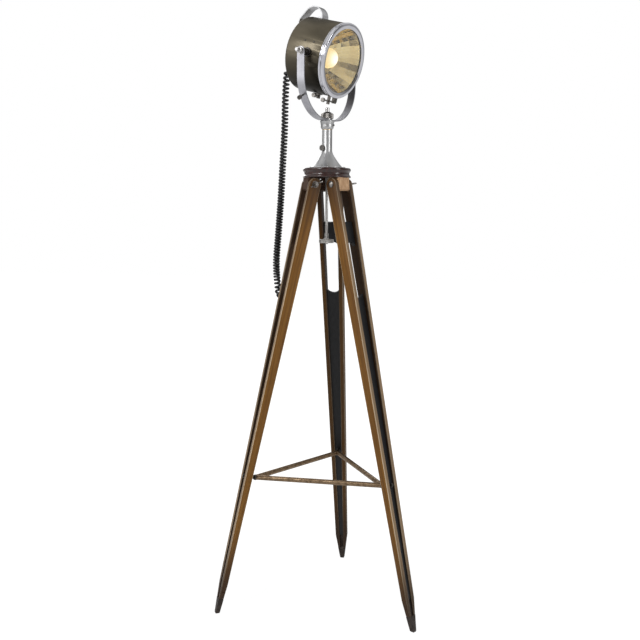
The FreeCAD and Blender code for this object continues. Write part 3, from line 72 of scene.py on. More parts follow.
class NodeTree:
    """Adds nodes to a material or a world and joins them."""

    def __init__(self, owner):
        owner.use_nodes = True
        self.nodes = owner.node_tree.nodes
        self.links = owner.node_tree.links

    def feed(self, socket, value):
        """Join another node's output to a socket, or give it a number, a vector or a colour."""
        if isinstance(value, bpy.types.NodeSocket):
            self.links.new(value, socket)
        elif socket.type == "RGBA":
            socket.default_value = (*value, 1.0)
        else:
            socket.default_value = value

    def add(self, kind, output, inputs, **settings):
        """Output of a new node that has these inputs and settings."""
        node = self.nodes.new("ShaderNode" + kind)
        for name, value in settings.items():
            setattr(node, name, value)
        for socket, value in inputs.items():
            self.feed(node.inputs[socket], value)
        return node.outputs[output]

    def coordinates(self, kind):
        """Object, Normal or Generated coordinates."""
        return self.add("TexCoord", kind, {})

    def axis(self, vector, name):
        """X, Y or Z of a vector."""
        return self.add("SeparateXYZ", name, {"Vector": vector})

    def length(self, vector):
        """Length of a vector."""
        return self.add("VectorMath", "Value", {0: vector}, operation="LENGTH")

    def work(self, operation, first, second):
        """Arithmetic on two values."""
        return self.add("Math", "Value", {0: first, 1: second}, operation=operation)

    def ramp(self, value, stops):
        """Grey ramp over a value."""
        node = self.nodes.new("ShaderNodeValToRGB")
        elements = node.color_ramp.elements
        for k, (at, grey) in enumerate(stops):
            stop = elements[k] if k < 2 else elements.new(at)
            stop.position = at
            stop.color = (grey, grey, grey, 1)
        self.feed(node.inputs["Fac"], value)
        return node.outputs["Color"]

    def span(self, value, low, high, to_low=0.0, to_high=1.0):
        """Part of a value's range, eased to another range."""
        inputs = {"Value": value, "From Min": low, "From Max": high, "To Min": to_low, "To Max": to_high}
        return self.add("MapRange", "Result", inputs, interpolation_type="SMOOTHSTEP")

    def blend(self, share, first, second, kind="MIX"):
        """Colour between two colours."""
        return self.add("Mix", 2, {0: share, 6: first, 7: second}, data_type="RGBA", blend_type=kind)

    def shade(self, share, first, second, output):
        """Mix two shaders by a share and give the result to an output node."""
        mix = self.add("MixShader", "Shader", {"Fac": share, 1: first, 2: second})
        self.feed(self.nodes.new("ShaderNode" + output).inputs["Surface"], mix)


# ---- Camera, light and floor ----

CAMERA_PLACE = (0.4705, -2.4641, 1.1232)
CAMERA_HEADING = Vector((-0.1942, 0.9810, 0.0))
CAMERA_DOWN = math.radians(6.508)
CAMERA_ROLL = 0.0061
CAMERA_LENS = 49.247
SENSOR_WIDTH = 36.0

# Grey of the room by height (0 below, 1 overhead) and by bearing (from -180 to 180 degrees as 0 to 1).
ROOM_LIGHT = 0.75
ROOM_HEIGHTS = [(0.0, 0.50), (0.42, 0.34), (0.53, 0.14), (0.70, 0.40), (1.0, 0.55)]
ROOM_BEARINGS = [
    (0.0, 0.9), (0.10, 1.0), (0.16, 0.9), (0.21, 0.15), (0.26, 0.25), (0.30, 1.0), (0.35, 0.9),
    (0.39, 0.20), (0.43, 0.30), (0.46, 1.0), (0.50, 0.20), (0.54, 0.30), (0.58, 1.0), (0.66, 0.9),
    (0.74, 0.20), (0.82, 0.30), (0.88, 1.0), (1.0, 0.9)]

# Metal mirrors white and the room, with the white's share this many times the room's own grey.
MIRRORED_SHARE = 1.5

# Soft lamps: place, target, width, height and watts.
SOFT_BOXES = {
    "key_box": ((-1.3, -2.6, 2.5), (0, 0, 1.3), 0.9, 1.4, 40),
    "left_box": ((-1.95, -1.34, 1.95), (0, 0, 1.4), 1.1, 1.3, 7),
    "side_box": ((2.6, -1.2, 1.9), (0, 0, 1.2), 0.7, 2.0, 26),
    "back_box": ((-1.2, 2.4, 2.4), (0, 0, 1.2), 1.0, 1.6, 20),
}

# The floor: its paint, its white for the eye and the share of that white in metal. Its shadow is
# whole up to one distance from the middle and gone at another.
FLOOR_SIZE = 14.0
FLOOR_PAINT = (0.88, 0.88, 0.88)
FLOOR_WHITE = 1.15
FLOOR_MIRRORED = 0.5
SHADOW_WHOLE = 0.2
SHADOW_REACH = 0.75
SHADOW_SHARE = 0.20


def in_scene(name, data):
    """New object in the scene."""
    thing = bpy.data.objects.new(name, data)
    bpy.context.scene.collection.objects.link(thing)
    return thing


def set_camera():
    """Eye-level camera that looks a little down on the tripod from its front right."""
    right = CAMERA_HEADING.cross(UP)
    ahead = CAMERA_HEADING * math.cos(CAMERA_DOWN) - UP * math.sin(CAMERA_DOWN)
    above = right.cross(ahead)
    tilted_up = above * math.cos(CAMERA_ROLL) - right * math.sin(CAMERA_ROLL)
    tilted_right = right * math.cos(CAMERA_ROLL) + above * math.sin(CAMERA_ROLL)
    data = bpy.data.cameras.new("lamp_view")
    data.lens = CAMERA_LENS
    data.sensor_width = SENSOR_WIDTH
    data.clip_start, data.clip_end = 0.05, 60.0
    camera = in_scene("lamp_view", data)
    turn = Matrix((tilted_right, tilted_up, -ahead)).transposed()
    camera.matrix_world = Matrix.Translation(CAMERA_PLACE) @ turn.to_4x4()
    bpy.context.scene.camera = camera
    bpy.context.scene.view_settings.view_transform = "Standard"


def soft_box(name, place, target, width, height, watts):
    """Large soft lamp that faces a point on the object."""
    data = bpy.data.lights.new(name, "AREA")
    data.shape = "RECTANGLE"
    data.size, data.size_y = width, height
    data.energy = watts
    lamp = in_scene(name, data)
    lamp.location = place
    lamp.rotation_euler = (Vector(target) - Vector(place)).to_track_quat("-Z", "Y").to_euler()


def rays_that_see(tree, mirrored):
    """1 for rays from the eye or through glass, and a share for rays mirrored by metal."""
    path = tree.nodes.new("ShaderNodeLightPath").outputs
    share = tree.work("MULTIPLY", path["Is Glossy Ray"], mirrored)
    for kind in ("Is Camera Ray", "Is Transmission Ray"):
        share = tree.work("MAXIMUM", share, path[kind])
    return share


def light_studio():
    """White surroundings, and a grey room with dark screens that lights the lamp and shows in its metal."""
    world = bpy.data.worlds.new("studio")
    bpy.context.scene.world = world
    tree = NodeTree(world)
    tree.nodes.clear()
    way = tree.coordinates("Generated")
    height = tree.add("MapRange", "Result", {"Value": tree.axis(way, "Z"), "From Min": -1.0})
    bearing = tree.work("ARCTAN2", tree.axis(way, "Y"), tree.axis(way, "X"))
    around = tree.add("MapRange", "Result", {"Value": bearing, "From Min": -math.pi, "From Max": math.pi})
    grey = tree.blend(1.0, tree.ramp(height, ROOM_HEIGHTS), tree.ramp(around, ROOM_BEARINGS), "MULTIPLY")
    room = tree.add("Background", "Background", {"Color": grey, "Strength": ROOM_LIGHT})
    white = tree.add("Background", "Background", {"Color": (1, 1, 1), "Strength": 1.0})
    share = rays_that_see(tree, tree.work("MULTIPLY", grey, MIRRORED_SHARE))
    tree.shade(share, room, white, "OutputWorld")
    for name, box in SOFT_BOXES.items():
        soft_box(name, *box)


def lay_floor():
    """White floor that melts into the surroundings and keeps a faint shadow near the feet."""
    mesh = bmesh.new()
    bmesh.ops.create_grid(mesh, x_segments=1, y_segments=1, size=FLOOR_SIZE)
    data = bpy.data.meshes.new("studio_floor")
    mesh.to_mesh(data)
    mesh.free()
    floor = in_scene("studio_floor", data)
    finish = bpy.data.materials.new("floor_white")
    tree = NodeTree(finish)
    tree.nodes.clear()
    paint = tree.add("BsdfDiffuse", "BSDF", {"Color": FLOOR_PAINT})
    white = tree.add("Emission", "Emission", {"Strength": FLOOR_WHITE})
    from_middle = tree.length(tree.coordinates("Object"))
    lit = tree.span(from_middle, SHADOW_WHOLE, SHADOW_REACH, 1.0 - SHADOW_SHARE, 1.0)
    share = tree.work("MULTIPLY", rays_that_see(tree, FLOOR_MIRRORED), lit)
    tree.shade(share, paint, white, "OutputMaterial")
    data.materials.append(finish)


set_camera()
light_studio()
lay_floor()


# ---- Making and placing pieces ----

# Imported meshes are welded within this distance, and their faces merged where they turn less than this.
WELD_DISTANCE = 2e-5
FLAT_ANGLE = math.radians(0.5)
SHARP_ANGLE = math.radians(35)


def show(name, mesh, part, *finishes, soften=None):
    """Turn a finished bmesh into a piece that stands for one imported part, smooth below an angle in degrees."""
    data = bpy.data.meshes.new(name)
    mesh.to_mesh(data)
    mesh.free()
    if soften is not None:
        for face in data.polygons:
            face.use_smooth = True
        data.set_sharp_from_angle(angle=math.radians(soften))
    piece = in_scene(name, data)
    for finish in finishes:
        data.materials.append(finish)
    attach(piece, BODY_OF_PART[part])
    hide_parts(part)


def merged_copy(part):
    """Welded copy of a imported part's mesh with its flat faces whole again."""
    mesh = bmesh.new()
    mesh.from_mesh(PARTS[part].data)
    bmesh.ops.remove_doubles(mesh, verts=mesh.verts, dist=WELD_DISTANCE)
    bmesh.ops.dissolve_limit(mesh, angle_limit=FLAT_ANGLE, use_dissolve_boundaries=False,
                             verts=mesh.verts, edges=mesh.edges, delimit={"NORMAL"})
    return mesh


def sharp_edges(mesh):
    """Edges at which two faces meet sharply."""
    return [edge for edge in mesh.edges
            if len(edge.link_faces) == 2 and edge.calc_face_angle(0.0) > SHARP_ANGLE]


def round_off(mesh, edges, width, steps, clamp):
    """Round off edges over a width, and return the new faces."""
    made = bmesh.ops.bevel(mesh, geom=edges, offset=width, offset_type="OFFSET", segments=steps, profile=0.5,
                           affect="EDGES", clamp_overlap=clamp, material=-1)
    return made["faces"]


# ---- Finishes ----

class Finish(NodeTree):
    """Material that starts from one Principled shader."""

    def __init__(self, name, colour=(0.5, 0.5, 0.5), roughness=0.5, metallic=0.0):
        self.material = bpy.data.materials.new(name)
        super().__init__(self.material)
        self.shader = self.nodes["Principled BSDF"]
        self.set("Base Color", colour)
        self.set("Roughness", roughness)
        self.set("Metallic", metallic)
        self.place = self.coordinates("Object")

    def set(self, socket, value):
        """Give one of the shader's sockets a value or another node's output."""
        self.feed(self.shader.inputs[socket], value)

    def turned(self, location, rotation):
        """Object coordinates seen from a frame at a location and turned."""
        inputs = {"Vector": self.place, "Location": location, "Rotation": rotation}
        return self.add("Mapping", "Vector", inputs, vector_type="TEXTURE")

    def stretched(self, vector, scale):
        """A vector multiplied along its axes."""
        return self.add("VectorMath", "Vector", {0: vector, 1: scale}, operation="MULTIPLY")

    def along(self, vector, way):
        """How far a vector goes along a direction."""
        return self.add("VectorMath", "Value", {0: vector, 1: way}, operation="DOT_PRODUCT")

    def cloud(self, vector, scale, detail=4.0, rough=0.55, twist=0.0):
        """Noise between 0 and 1, with one scale or a scale for each axis."""
        if isinstance(scale, tuple):
            vector, scale = self.stretched(vector, scale), 1.0
        return self.add("TexNoise", "Fac", {"Vector": vector, "Scale": scale, "Detail": detail,
                                            "Roughness": rough, "Distortion": twist})

    def relief(self, height, strength, depth):
        """Bump from a height between 0 and 1."""
        self.set("Normal", self.add("Bump", "Normal", {"Strength": strength, "Distance": depth, "Height": height}))


def scaled(colour, factor, lift=0.0):
    """A colour times a factor, lifted by a little grey."""
    return tuple(factor * part + lift for part in colour)


# Leg boards: light and dark of the oiled wood and of its pale rounded edges, and the tones over them. The
# darkening towards the foot fades out between two heights, and the darkening by age and painted shade at the top
# comes in between two.
OILED_WOOD = ((0.285, 0.132, 0.026), (0.165, 0.070, 0.013))
PALE_EDGE_WOOD = ((0.82, 0.66, 0.46), (0.52, 0.38, 0.24))
# Painted highlight: the boards' faces that look outwards, paler.
OUTER_EDGE_HIGHLIGHT = (0.46, 0.36, 0.25)
# Painted shade: near black on the faces of a leg's two boards that face each other.
INNER_PAINTED_SHADE = (0.022, 0.013, 0.009)
FOOT_DARKENING = (0.034, 0.018, 0.010)
FOOT_FADE = (0.06, 0.27)
# Darkening by age, and painted shade below the head plate, at the top of the legs.
TOP_AGE_AND_SHADE = (0.050, 0.024, 0.011)
TOP_FADE = (1.06, 1.22)
# Painted shade: the whole back leg's wood is darkened by this factor.
BACK_LEG_PAINTED_SHADE = 0.42

# Scales of the wood's noise across the grain (twice) and along it, and of the working marks in metal.
LEG_GRAIN = (150, 150, 4.5)
LEG_BANDS = (42, 42, 1.6)
LEG_PORES = (900, 900, 26)
SMALL_GRAIN = (180, 180, 60)
SMALL_PORES = (700, 700, 240)
METAL_MARKS = 700.0

# The drum: light and dark of its brown, the painted shade of its underside and the heights between which that
# shade fades out.
DRUM_LIGHT = (0.170, 0.148, 0.108)
DRUM_DARK = (0.130, 0.112, 0.080)
DRUM_UNDERSIDE_SHADE = (0.014, 0.013, 0.011)
DRUM_FADE = (1.49, 1.61)

# The bulb's glow in front, at its sides, and the distance from its axis where the latter is reached.
BULB_FRONT = (1.0, 0.97, 0.84)
BULB_SIDE = (0.60, 0.45, 0.18)
BULB_RADIUS = 0.029


def board_sides(finish, turn, tone):
    """Paint shade nearly black on the faces of a leg's two boards that face each other, and a painted highlight on
    its outer edges.
    """
    facing = finish.coordinates("Normal")
    across = (-math.sin(turn), math.cos(turn), 0.0)
    outwards = (math.cos(turn), math.sin(turn), 0.0)
    inward = finish.work("MULTIPLY", finish.along(facing, across), finish.along(finish.place, across))
    # Painted highlight on the faces that look outwards.
    edge = finish.span(finish.along(facing, outwards), 0.85, 0.96, 0.0, 0.5)
    tone = finish.blend(edge, tone, OUTER_EDGE_HIGHLIGHT)
    # Painted shade on the faces that look at the other board.
    return finish.blend(finish.span(inward, -0.006, -0.002, 0.85, 0.0), tone, INNER_PAINTED_SHADE)


def leg_wood(leg, pale_edge=False):
    """Golden-brown board with its grain along the leg, darker towards the foot, darkened by age and painted shade
    at its top, with painted shade between its boards and over the whole back leg and a painted highlight on its
    outer edges.
    """
    name = "leg_wood_pale_edge" if pale_edge else "leg_wood"
    finish = Finish(f"{name}_{LEG_AZIMUTH[leg]:.0f}", roughness=0.42)
    turn = math.radians(LEG_AZIMUTH[leg])
    hinge = (LEG_HINGE_RADIUS * math.cos(turn), LEG_HINGE_RADIUS * math.sin(turn), LEG_HINGE_HEIGHT)
    board = finish.turned(hinge, (0.0, -LEG_SPLAY, turn))
    grain = finish.cloud(board, LEG_GRAIN, 6.0, 0.6, 0.6)
    bands = finish.cloud(board, LEG_BANDS, 3.0, 0.5, 1.2)
    pores = finish.cloud(board, LEG_PORES, 2.0, 0.6)
    # Painted shade over the whole back leg.
    shade = BACK_LEG_PAINTED_SHADE if leg == "back" else 1.0
    light, dark = (scaled(colour, shade) for colour in (PALE_EDGE_WOOD if pale_edge else OILED_WOOD))
    tone = finish.blend(finish.span(grain, 0.30, 0.72), dark, light)
    tone = finish.blend(finish.span(bands, 0.40, 0.80, 0.0, 0.28), tone, scaled(dark, 0.62))
    tone = finish.blend(finish.span(pores, 0.60, 0.78, 0.0, 0.28), tone, scaled(dark, 0.35))
    tone = board_sides(finish, turn, tone)
    height = finish.axis(finish.place, "Z")
    # Darker towards the foot.
    tone = finish.blend(finish.span(height, *FOOT_FADE, 0.88, 0.0), tone, FOOT_DARKENING)
    # Darkening by age and painted shade below the head plate.
    tone = finish.blend(finish.span(height, *TOP_FADE, 0.0, 0.70), tone, TOP_AGE_AND_SHADE)
    finish.set("Base Color", tone)
    finish.set("Roughness", finish.span(grain, 0.2, 0.8, 0.42, 0.60))
    finish.relief(finish.work("ADD", grain, finish.work("MULTIPLY", pores, -0.5)), 0.3, 0.0004)
    finish.set("Specular IOR Level", 0.25)
    return finish.material


def stained_wood(name, light, dark, roughness, coat=0.0):
    """Dark wood of the stand with a fine grain, bare or varnished."""
    finish = Finish(name, roughness=roughness)
    grain = finish.cloud(finish.place, SMALL_GRAIN, 5.0, 0.6, 0.8)
    pores = finish.cloud(finish.place, SMALL_PORES, 2.0, 0.5)
    tone = finish.blend(finish.span(grain, 0.3, 0.7), dark, light)
    tone = finish.blend(finish.span(pores, 0.62, 0.8, 0.0, 0.4), tone, scaled(dark, 0.4))
    finish.set("Base Color", tone)
    finish.relief(pores, 0.25, 0.0003)
    finish.set("Specular IOR Level", 0.3)
    finish.set("Coat Weight", coat)
    finish.set("Coat Roughness", 0.10)
    return finish.material


def block_wood():
    """Hinge blocks' wood: dark on the left leg's side and pale on the right."""
    finish = Finish("block_wood", roughness=0.5)
    grain = finish.cloud(finish.place, SMALL_GRAIN, 5.0, 0.6, 0.8)
    share = finish.span(grain, 0.3, 0.7)
    pale = finish.blend(share, (0.60, 0.35, 0.19), (0.82, 0.55, 0.33))
    dark = finish.blend(share, (0.045, 0.024, 0.014), (0.095, 0.052, 0.032))
    right_side = finish.span(finish.axis(finish.place, "X"), -0.008, 0.008)
    finish.set("Base Color", finish.blend(right_side, dark, pale))
    finish.relief(grain, 0.15, 0.0003)
    finish.set("Specular IOR Level", 0.25)
    return finish.material


def metal(name, bright, dull, roughness, spread, scale, marks, metallic=1.0):
    """Metal with faint clouding, fine working marks and uneven gloss."""
    finish = Finish(name, roughness=roughness, metallic=metallic)
    clouds = finish.cloud(finish.place, scale, 4.0, 0.6)
    scratches = finish.cloud(finish.place, METAL_MARKS, 3.0, 0.7)
    finish.set("Base Color", finish.blend(finish.span(clouds, 0.3, 0.72), bright, dull))
    uneven = finish.work("ADD", clouds, finish.work("MULTIPLY", scratches, 0.4))
    finish.set("Roughness", finish.span(uneven, 0.35, 1.0, roughness - spread / 2, roughness + spread))
    if marks:
        finish.relief(scratches, marks, 0.00015)
    return finish.material


def gunmetal():
    """Satin brown drum, with painted shade underneath."""
    finish = Finish("drum_gunmetal", metallic=1.0)
    clouds = finish.cloud(finish.place, 12.0, 4.0, 0.6)
    tone = finish.blend(finish.span(clouds, 0.3, 0.72), DRUM_LIGHT, DRUM_DARK)
    # Painted shade on the drum's underside.
    shade_below = finish.span(finish.axis(finish.place, "Z"), *DRUM_FADE, 0.93, 0.0)
    finish.set("Base Color", finish.blend(shade_below, tone, DRUM_UNDERSIDE_SHADE))
    finish.set("Roughness", finish.span(clouds, 0.3, 0.8, 0.36, 0.42))
    return finish.material


def moulded(name, colour, roughness, grain=500.0, strength=0.2):
    """Black plastic or rubber with a little dust and a fine moulded grain."""
    finish = Finish(name, roughness=roughness)
    dust = finish.span(finish.cloud(finish.place, 90.0), 0.4, 0.8)
    finish.set("Base Color", finish.blend(dust, colour, scaled(colour, 1.9, 0.008)))
    finish.relief(finish.cloud(finish.place, grain, 2.0), strength, 0.0003)
    return finish.material


def clear_glass(name, tint, alpha):
    """Clear glass with a trace of waviness."""
    finish = Finish(name, tint, 0.03)
    finish.set("IOR", 1.5)
    finish.set("Alpha", alpha)
    finish.set("Specular IOR Level", 0.6)
    finish.relief(finish.cloud(finish.place, 14.0, 2.0), 0.05, 0.001)
    return finish.material


def lit_glass():
    """Bulb's globe: white-hot in front and warm towards its sides."""
    finish = Finish("bulb_glow", (0.55, 0.45, 0.28), 0.35)
    lamp_frame = finish.turned(tuple(LAMP_PIVOT), tuple(LAMP_TURN.to_euler()))
    off_axis = finish.length(finish.stretched(lamp_frame, (0, 1, 1)))
    finish.set("Emission Color", finish.blend(finish.span(off_axis, 0.0, BULB_RADIUS), BULB_FRONT, BULB_SIDE))
    finish.set("Emission Strength", 1.35)
    return finish.material


# Metals: bright and dull colour, roughness and its spread, scale of the clouds, strength of the marks.
METALS = {
    "bright_steel": ((0.66, 0.65, 0.64), (0.52, 0.51, 0.50), 0.24, 0.10, 60.0, 0.05),
    "worn_steel": ((0.36, 0.34, 0.32), (0.16, 0.15, 0.14), 0.26, 0.20, 160.0, 0.15),
    "dark_steel": ((0.13, 0.12, 0.11), (0.05, 0.047, 0.043), 0.35, 0.15, 60.0, 0.25),
    "rod_steel": ((0.64, 0.63, 0.61), (0.52, 0.51, 0.49), 0.42, 0.08, 20.0, 0.0),
    "bronze_rod": ((0.30, 0.21, 0.13), (0.15, 0.10, 0.06), 0.38, 0.20, 90.0, 0.25),
    "polished_aluminium": ((0.52, 0.52, 0.52), (0.45, 0.45, 0.45), 0.36, 0.04, 20.0, 0.0),
    "yoke_aluminium": ((0.47, 0.47, 0.50), (0.39, 0.39, 0.42), 0.38, 0.08, 20.0, 0.0),
    "washer_brass": ((0.72, 0.52, 0.25), (0.5, 0.35, 0.16), 0.35, 0.10, 60.0, 0.25),
    "chrome": ((0.72, 0.72, 0.76), (0.62, 0.62, 0.67), 0.07, 0.04, 20.0, 0.0),
    "handle_chrome": ((0.50, 0.50, 0.51), (0.36, 0.36, 0.37), 0.24, 0.08, 40.0, 0.0),
    "reflector_gold": ((0.88, 0.73, 0.37), (0.74, 0.56, 0.25), 0.12, 0.05, 18.0, 0.0),
}
FINISHES = {
    "filler_black": stained_wood("filler_black", (0.016, 0.017, 0.019), (0.009, 0.009, 0.010), 0.42),
    "block_wood": block_wood(),
    "plate_wood": stained_wood("plate_wood", (0.048, 0.013, 0.009), (0.020, 0.007, 0.005), 0.30, coat=0.6),
    "shoe_iron": metal("shoe_iron", (0.048, 0.032, 0.023), (0.022, 0.016, 0.013), 0.5, 0.2, 120.0, 0.3,
                       metallic=0.3),
    "drum_gunmetal": gunmetal(),
    "gasket_rubber": moulded("gasket_rubber", (0.012, 0.012, 0.012), 0.7),
    "holder_plastic": moulded("holder_plastic", (0.02, 0.02, 0.02), 0.5),
    "black_plastic": moulded("black_plastic", (0.014, 0.014, 0.014), 0.42),
    "cord_rubber": moulded("cord_rubber", (0.009, 0.009, 0.010), 0.38, 420.0, 0.3),
    "lens_clear": clear_glass("lens_clear", (0.93, 0.95, 0.94), 0.10),
    "bulb_glow": lit_glass(),
}
for name, values in METALS.items():
    FINISHES[name] = metal(name, *values)

PARTS_BY_FINISH = {
    "bright_steel": ["block_screws", "pedestal_screws", "swivel_spindle", "swivel_nut_washer",
                     "pivot_bolts", "pivot_washers", "near_pivot_nut", "far_pivot_nut"],
    "worn_steel": ["hinge_bolts", "hinge_washers", "back_wing_nut", "left_wing_nut", "right_wing_nut",
                   "underside_thumb_screw", "bezel_clamp_screw", "post_set_screw", "drum_screws",
                   "yoke_side_nut", "swivel_hand_nut"],
    "dark_steel": ["yoke_side_screw", "collar_grub_screw", "underside_bracket", "bezel_lugs",
                   "trunnion_plates", "drum_rivets", "lens_retainer", "pivot_bushes", "holder_plate",
                   "stretcher_eyes", "stretcher_nuts"],
    "rod_steel": ["centre_rod", "hand_wheel"],
    "bronze_rod": ["stretcher_rods"],
    "polished_aluminium": ["pedestal", "swivel_collar"],
    "yoke_aluminium": ["yoke"],
    "washer_brass": ["swivel_washer", "bulb_cap"],
    "drum_gunmetal": ["drum_housing"],
    "chrome": ["bezel_ring"],
    "handle_chrome": ["grab_handle"],
    "reflector_gold": ["reflector"],
    "gasket_rubber": ["lens_gasket"],
    "holder_plastic": ["lamp_holder"],
    "black_plastic": ["leg_junction_box", "leg_cord_gland", "cord_gland"],
    "cord_rubber": ["curly_cord"],
    "lens_clear": ["lens_glass"],
    "bulb_glow": ["bulb_glass"],
    "filler_black": ["upper_fillers", "lower_fillers"],
    "block_wood": ["hinge_blocks"],
    "plate_wood": ["head_plate"],
    "shoe_iron": ["shoes", "shoe_pins"],
}
FINISH_OF_PART = {part: FINISHES[finish] for finish, parts in PARTS_BY_FINISH.items() for part in parts}
for part, finish in FINISH_OF_PART.items():
    PARTS[part].data.materials.clear()
    PARTS[part].data.materials.append(finish)


# ---- Curly cord from the lamp to the box on the left leg ----

CORD_ROUTE = [
    (-0.0976, 0.0405, 1.5579), (-0.0993, 0.0412, 1.5584), (-0.1127, 0.0468, 1.5584), (-0.1243, 0.0516, 1.5512),
    (-0.1304, 0.0541, 1.5410), (-0.1334, 0.0494, 1.4671), (-0.1326, 0.0429, 1.3984), (-0.1338, 0.0370, 1.3411),
    (-0.1355, 0.0321, 1.2952), (-0.1374, 0.0260, 1.2320), (-0.1388, 0.0203, 1.1803), (-0.1405, 0.0165, 1.1458),
    (-0.1424, 0.0122, 1.1056), (-0.1446, 0.0086, 1.0653), (-0.1474, 0.0066, 1.0307), (-0.1493, 0.0075, 0.9980),
    (-0.1489, 0.0110, 0.9610), (-0.1472, 0.0203, 0.9232), (-0.1450, 0.0166, 0.9101), (-0.1390, 0.0063, 0.8986),
    (-0.1310, -0.0076, 0.8945), (-0.1300, -0.0093, 0.8945)]
CORD_WIDTH = 0.0070

# Curls: radius of their middle line, length over which they grow at each end, distance from one to
# the next by the share of the route, and control points a turn. The smooth line runs inside the
# control points, so these lie a little further out.
CURL_RADIUS = 0.0070
CURL_GROWTH = 0.034
CURL_PITCHES = [(0.0, 0.0130), (0.06, 0.0130), (0.09, 0.0113), (0.15, 0.0113), (0.35, 0.0096), (0.60, 0.0081),
                (0.87, 0.0081), (0.93, 0.0130), (1.0, 0.0130)]
CURL_STEPS = 12
CURL_SWELL = 1.024
LEAST_STEP = 1e-5

# The cord is two pieces, which meet here: the upper one hangs between the lamp and the yoke, the
# lower one between the yoke and the tripod.
CORD_SPLIT_HEIGHT = 1.415


def path_mesh(kind, points, **settings):
    """Mesh of a curve through points, with its settings."""
    data = bpy.data.curves.new("cord_path", "CURVE")
    data.dimensions = "3D"
    for name, value in settings.items():
        setattr(data, name, value)
    spline = data.splines.new(kind)
    spline.points.add(len(points) - 1)
    for point, place in zip(spline.points, points):
        point.co = (*place, 1.0)
    if kind == "NURBS":
        spline.order_u = 3
        spline.use_endpoint_u = True
    holder = in_scene("cord_path", data)
    bpy.context.view_layer.update()
    mesh = bpy.data.meshes.new_from_object(holder.evaluated_get(bpy.context.evaluated_depsgraph_get()))
    bpy.data.objects.remove(holder)
    bpy.data.curves.remove(data)
    return mesh


def smooth_line(points, steps):
    """Points read along a smooth line that follows a route, at some steps for each point of the route."""
    mesh = path_mesh("NURBS", points, resolution_u=steps)
    line = [vertex.co.copy() for vertex in mesh.vertices]
    bpy.data.meshes.remove(mesh)
    return [line[0]] + [place for before, place in zip(line, line[1:]) if (place - before).length > LEAST_STEP]


def ease(share):
    """Smooth step from 0 to 1."""
    share = min(1.0, max(0.0, share))
    return share * share * (3 - 2 * share)


def curl_pitch(share):
    """Curls hang open near the lamp, where they carry the cord's weight, and at the lower bend."""
    for (low, here), (high, there) in zip(CURL_PITCHES, CURL_PITCHES[1:]):
        if share < high:
            return here + (there - here) * (share - low) / (high - low)
    return CURL_PITCHES[-1][1]


def curls_about(line):
    """Control points of the curls wound about a line, with a straight lead at each end."""
    reach = [0.0]
    for before, after in zip(line, line[1:]):
        reach.append(reach[-1] + (after - before).length)
    whole = reach[-1]
    lead = CORD_WIDTH
    across = (line[1] - line[0]).cross(UP).normalized()
    points = [line[0].copy()]
    turn, at, k = 0.0, lead, 0
    while at < whole - lead:
        while reach[k + 1] < at:
            k += 1
            way = (line[k + 1] - line[k]).normalized()
            across = (across - way * across.dot(way)).normalized()
        way = (line[k + 1] - line[k]).normalized()
        share = (at - reach[k]) / (reach[k + 1] - reach[k])
        middle = line[k].lerp(line[k + 1], share)
        radius = (CURL_SWELL * CURL_RADIUS * ease((at - lead) / CURL_GROWTH)
                  * ease((whole - lead - at) / CURL_GROWTH))
        points.append(middle + (across * math.cos(turn) + way.cross(across) * math.sin(turn)) * radius)
        turn += 2 * math.pi / CURL_STEPS
        at += curl_pitch(at / whole) / CURL_STEPS
    points.append(line[-1].copy())
    return points


def cord_stretch(name, line):
    """Round cord along a line, closed at both ends, as a mesh."""
    mesh = path_mesh("POLY", line, bevel_depth=CORD_WIDTH / 2, bevel_resolution=2, use_fill_caps=True)
    mesh.name = name
    for face in mesh.polygons:
        face.use_smooth = True
    mesh.materials.clear()
    mesh.materials.append(FINISHES["cord_rubber"])
    return in_scene(name, mesh)


curl_line = smooth_line(curls_about(smooth_line(CORD_ROUTE, steps=10)), steps=3)
split = next(k for k, place in enumerate(curl_line) if place.z < CORD_SPLIT_HEIGHT)
upper_line, lower_line = curl_line[:split + 1], curl_line[split:]
upper_cord = cord_stretch("upper_cord", upper_line)
lower_cord = cord_stretch("lower_cord", lower_line)
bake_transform(upper_cord)
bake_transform(lower_cord)
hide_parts("curly_cord")


# ---- Leg boards with pale rounded edges ----

# Width of the pale rounded edges, and the length above which an edge is rounded off and paled.
PALE_EDGE_WIDTH = 0.0017
PALE_EDGE_LEAST = 0.0025

for leg in LEG_AZIMUTH:
    boards = merged_copy(leg + "_leg_boards")
    edges = [edge for edge in sharp_edges(boards) if edge.calc_length() > PALE_EDGE_LEAST]
    for face in round_off(boards, edges, PALE_EDGE_WIDTH, 2, clamp=False):
        face.material_index = 1
    show(leg + "_boards", boards, leg + "_leg_boards", leg_wood(leg), leg_wood(leg, pale_edge=True), soften=30)


# ---- Rounded shoes and smoothly turned metal ----

# Edges below this height are rounded off over this width.
SHOE_TIP_HEIGHT = 0.004
SHOE_TIP_WIDTH = 0.0042

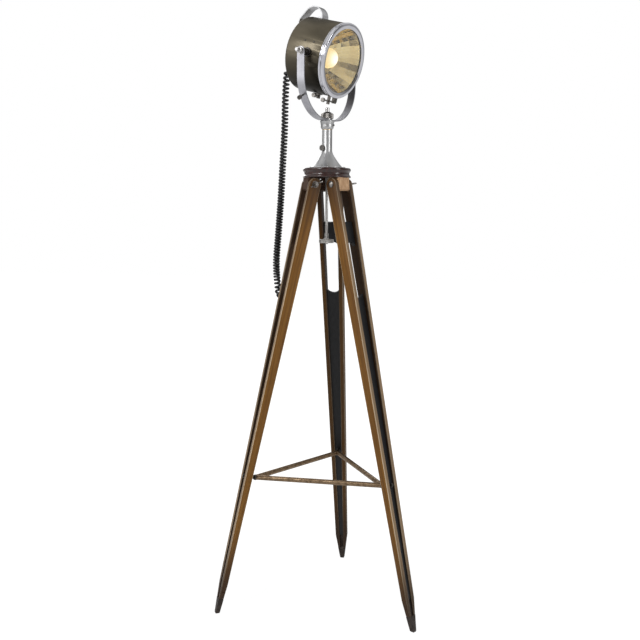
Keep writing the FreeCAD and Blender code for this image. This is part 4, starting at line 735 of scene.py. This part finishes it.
shoes = merged_copy("shoes")
tips = [edge for edge in sharp_edges(shoes) if max(vertex.co.z for vertex in edge.verts) < SHOE_TIP_HEIGHT]
round_off(shoes, tips, SHOE_TIP_WIDTH, 4, clamp=True)
show("rounded_shoes", shoes, "shoes", FINISH_OF_PART["shoes"], soften=50)
for part in ("pedestal", "swivel_collar", "drum_housing", "bezel_ring", "yoke", "grab_handle", "head_plate"):
    show("smooth_" + part, merged_copy(part), part, FINISH_OF_PART[part], soften=28)


# ---- Faceted reflector ----

# The bowl's facets: radii of their edges from its middle out, depths at the middle and from there to
# the mouth, all in mm, and how many there are around.
BOWL_RINGS = [20.7, 31.0, 42.0, 53.5, 65.5, 78.5, 92.0]
BOWL_BOTTOM = -45.0
BOWL_DEPTH = 90.6
BOWL_FACETS = 30

FLANGE_RADIUS = 0.0960
FLANGE_HEIGHT = 0.0456
SHEET_THICKNESS = 0.0008


def faceted_reflector():
    """Pressed mirror bowl with flat facets, and a plain flange round its mouth."""
    mesh = bmesh.new()
    profile = []
    for radius in BOWL_RINGS:
        height = BOWL_BOTTOM + (radius / BOWL_RINGS[-1]) ** 2 * BOWL_DEPTH
        profile.append(mesh.verts.new((0.0, radius / 1000, height / 1000)))
    profile.append(mesh.verts.new((0.0, FLANGE_RADIUS, FLANGE_HEIGHT)))
    for before, after in zip(profile, profile[1:]):
        mesh.edges.new((before, after))
    bmesh.ops.spin(mesh, geom=mesh.edges[:] + mesh.verts[:], cent=(0, 0, 0), axis=(0, 0, 1),
                   angle=2 * math.pi, steps=BOWL_FACETS, use_merge=True)
    bmesh.ops.recalc_face_normals(mesh, faces=mesh.faces)
    bmesh.ops.solidify(mesh, geom=mesh.faces[:], thickness=SHEET_THICKNESS)
    bmesh.ops.recalc_face_normals(mesh, faces=mesh.faces)
    bmesh.ops.transform(mesh, matrix=LAMP_PLACE @ Matrix.Rotation(math.radians(90), 4, "Y"), verts=mesh.verts)
    show("faceted_reflector", mesh, "reflector", FINISH_OF_PART["reflector"])


faceted_reflector()
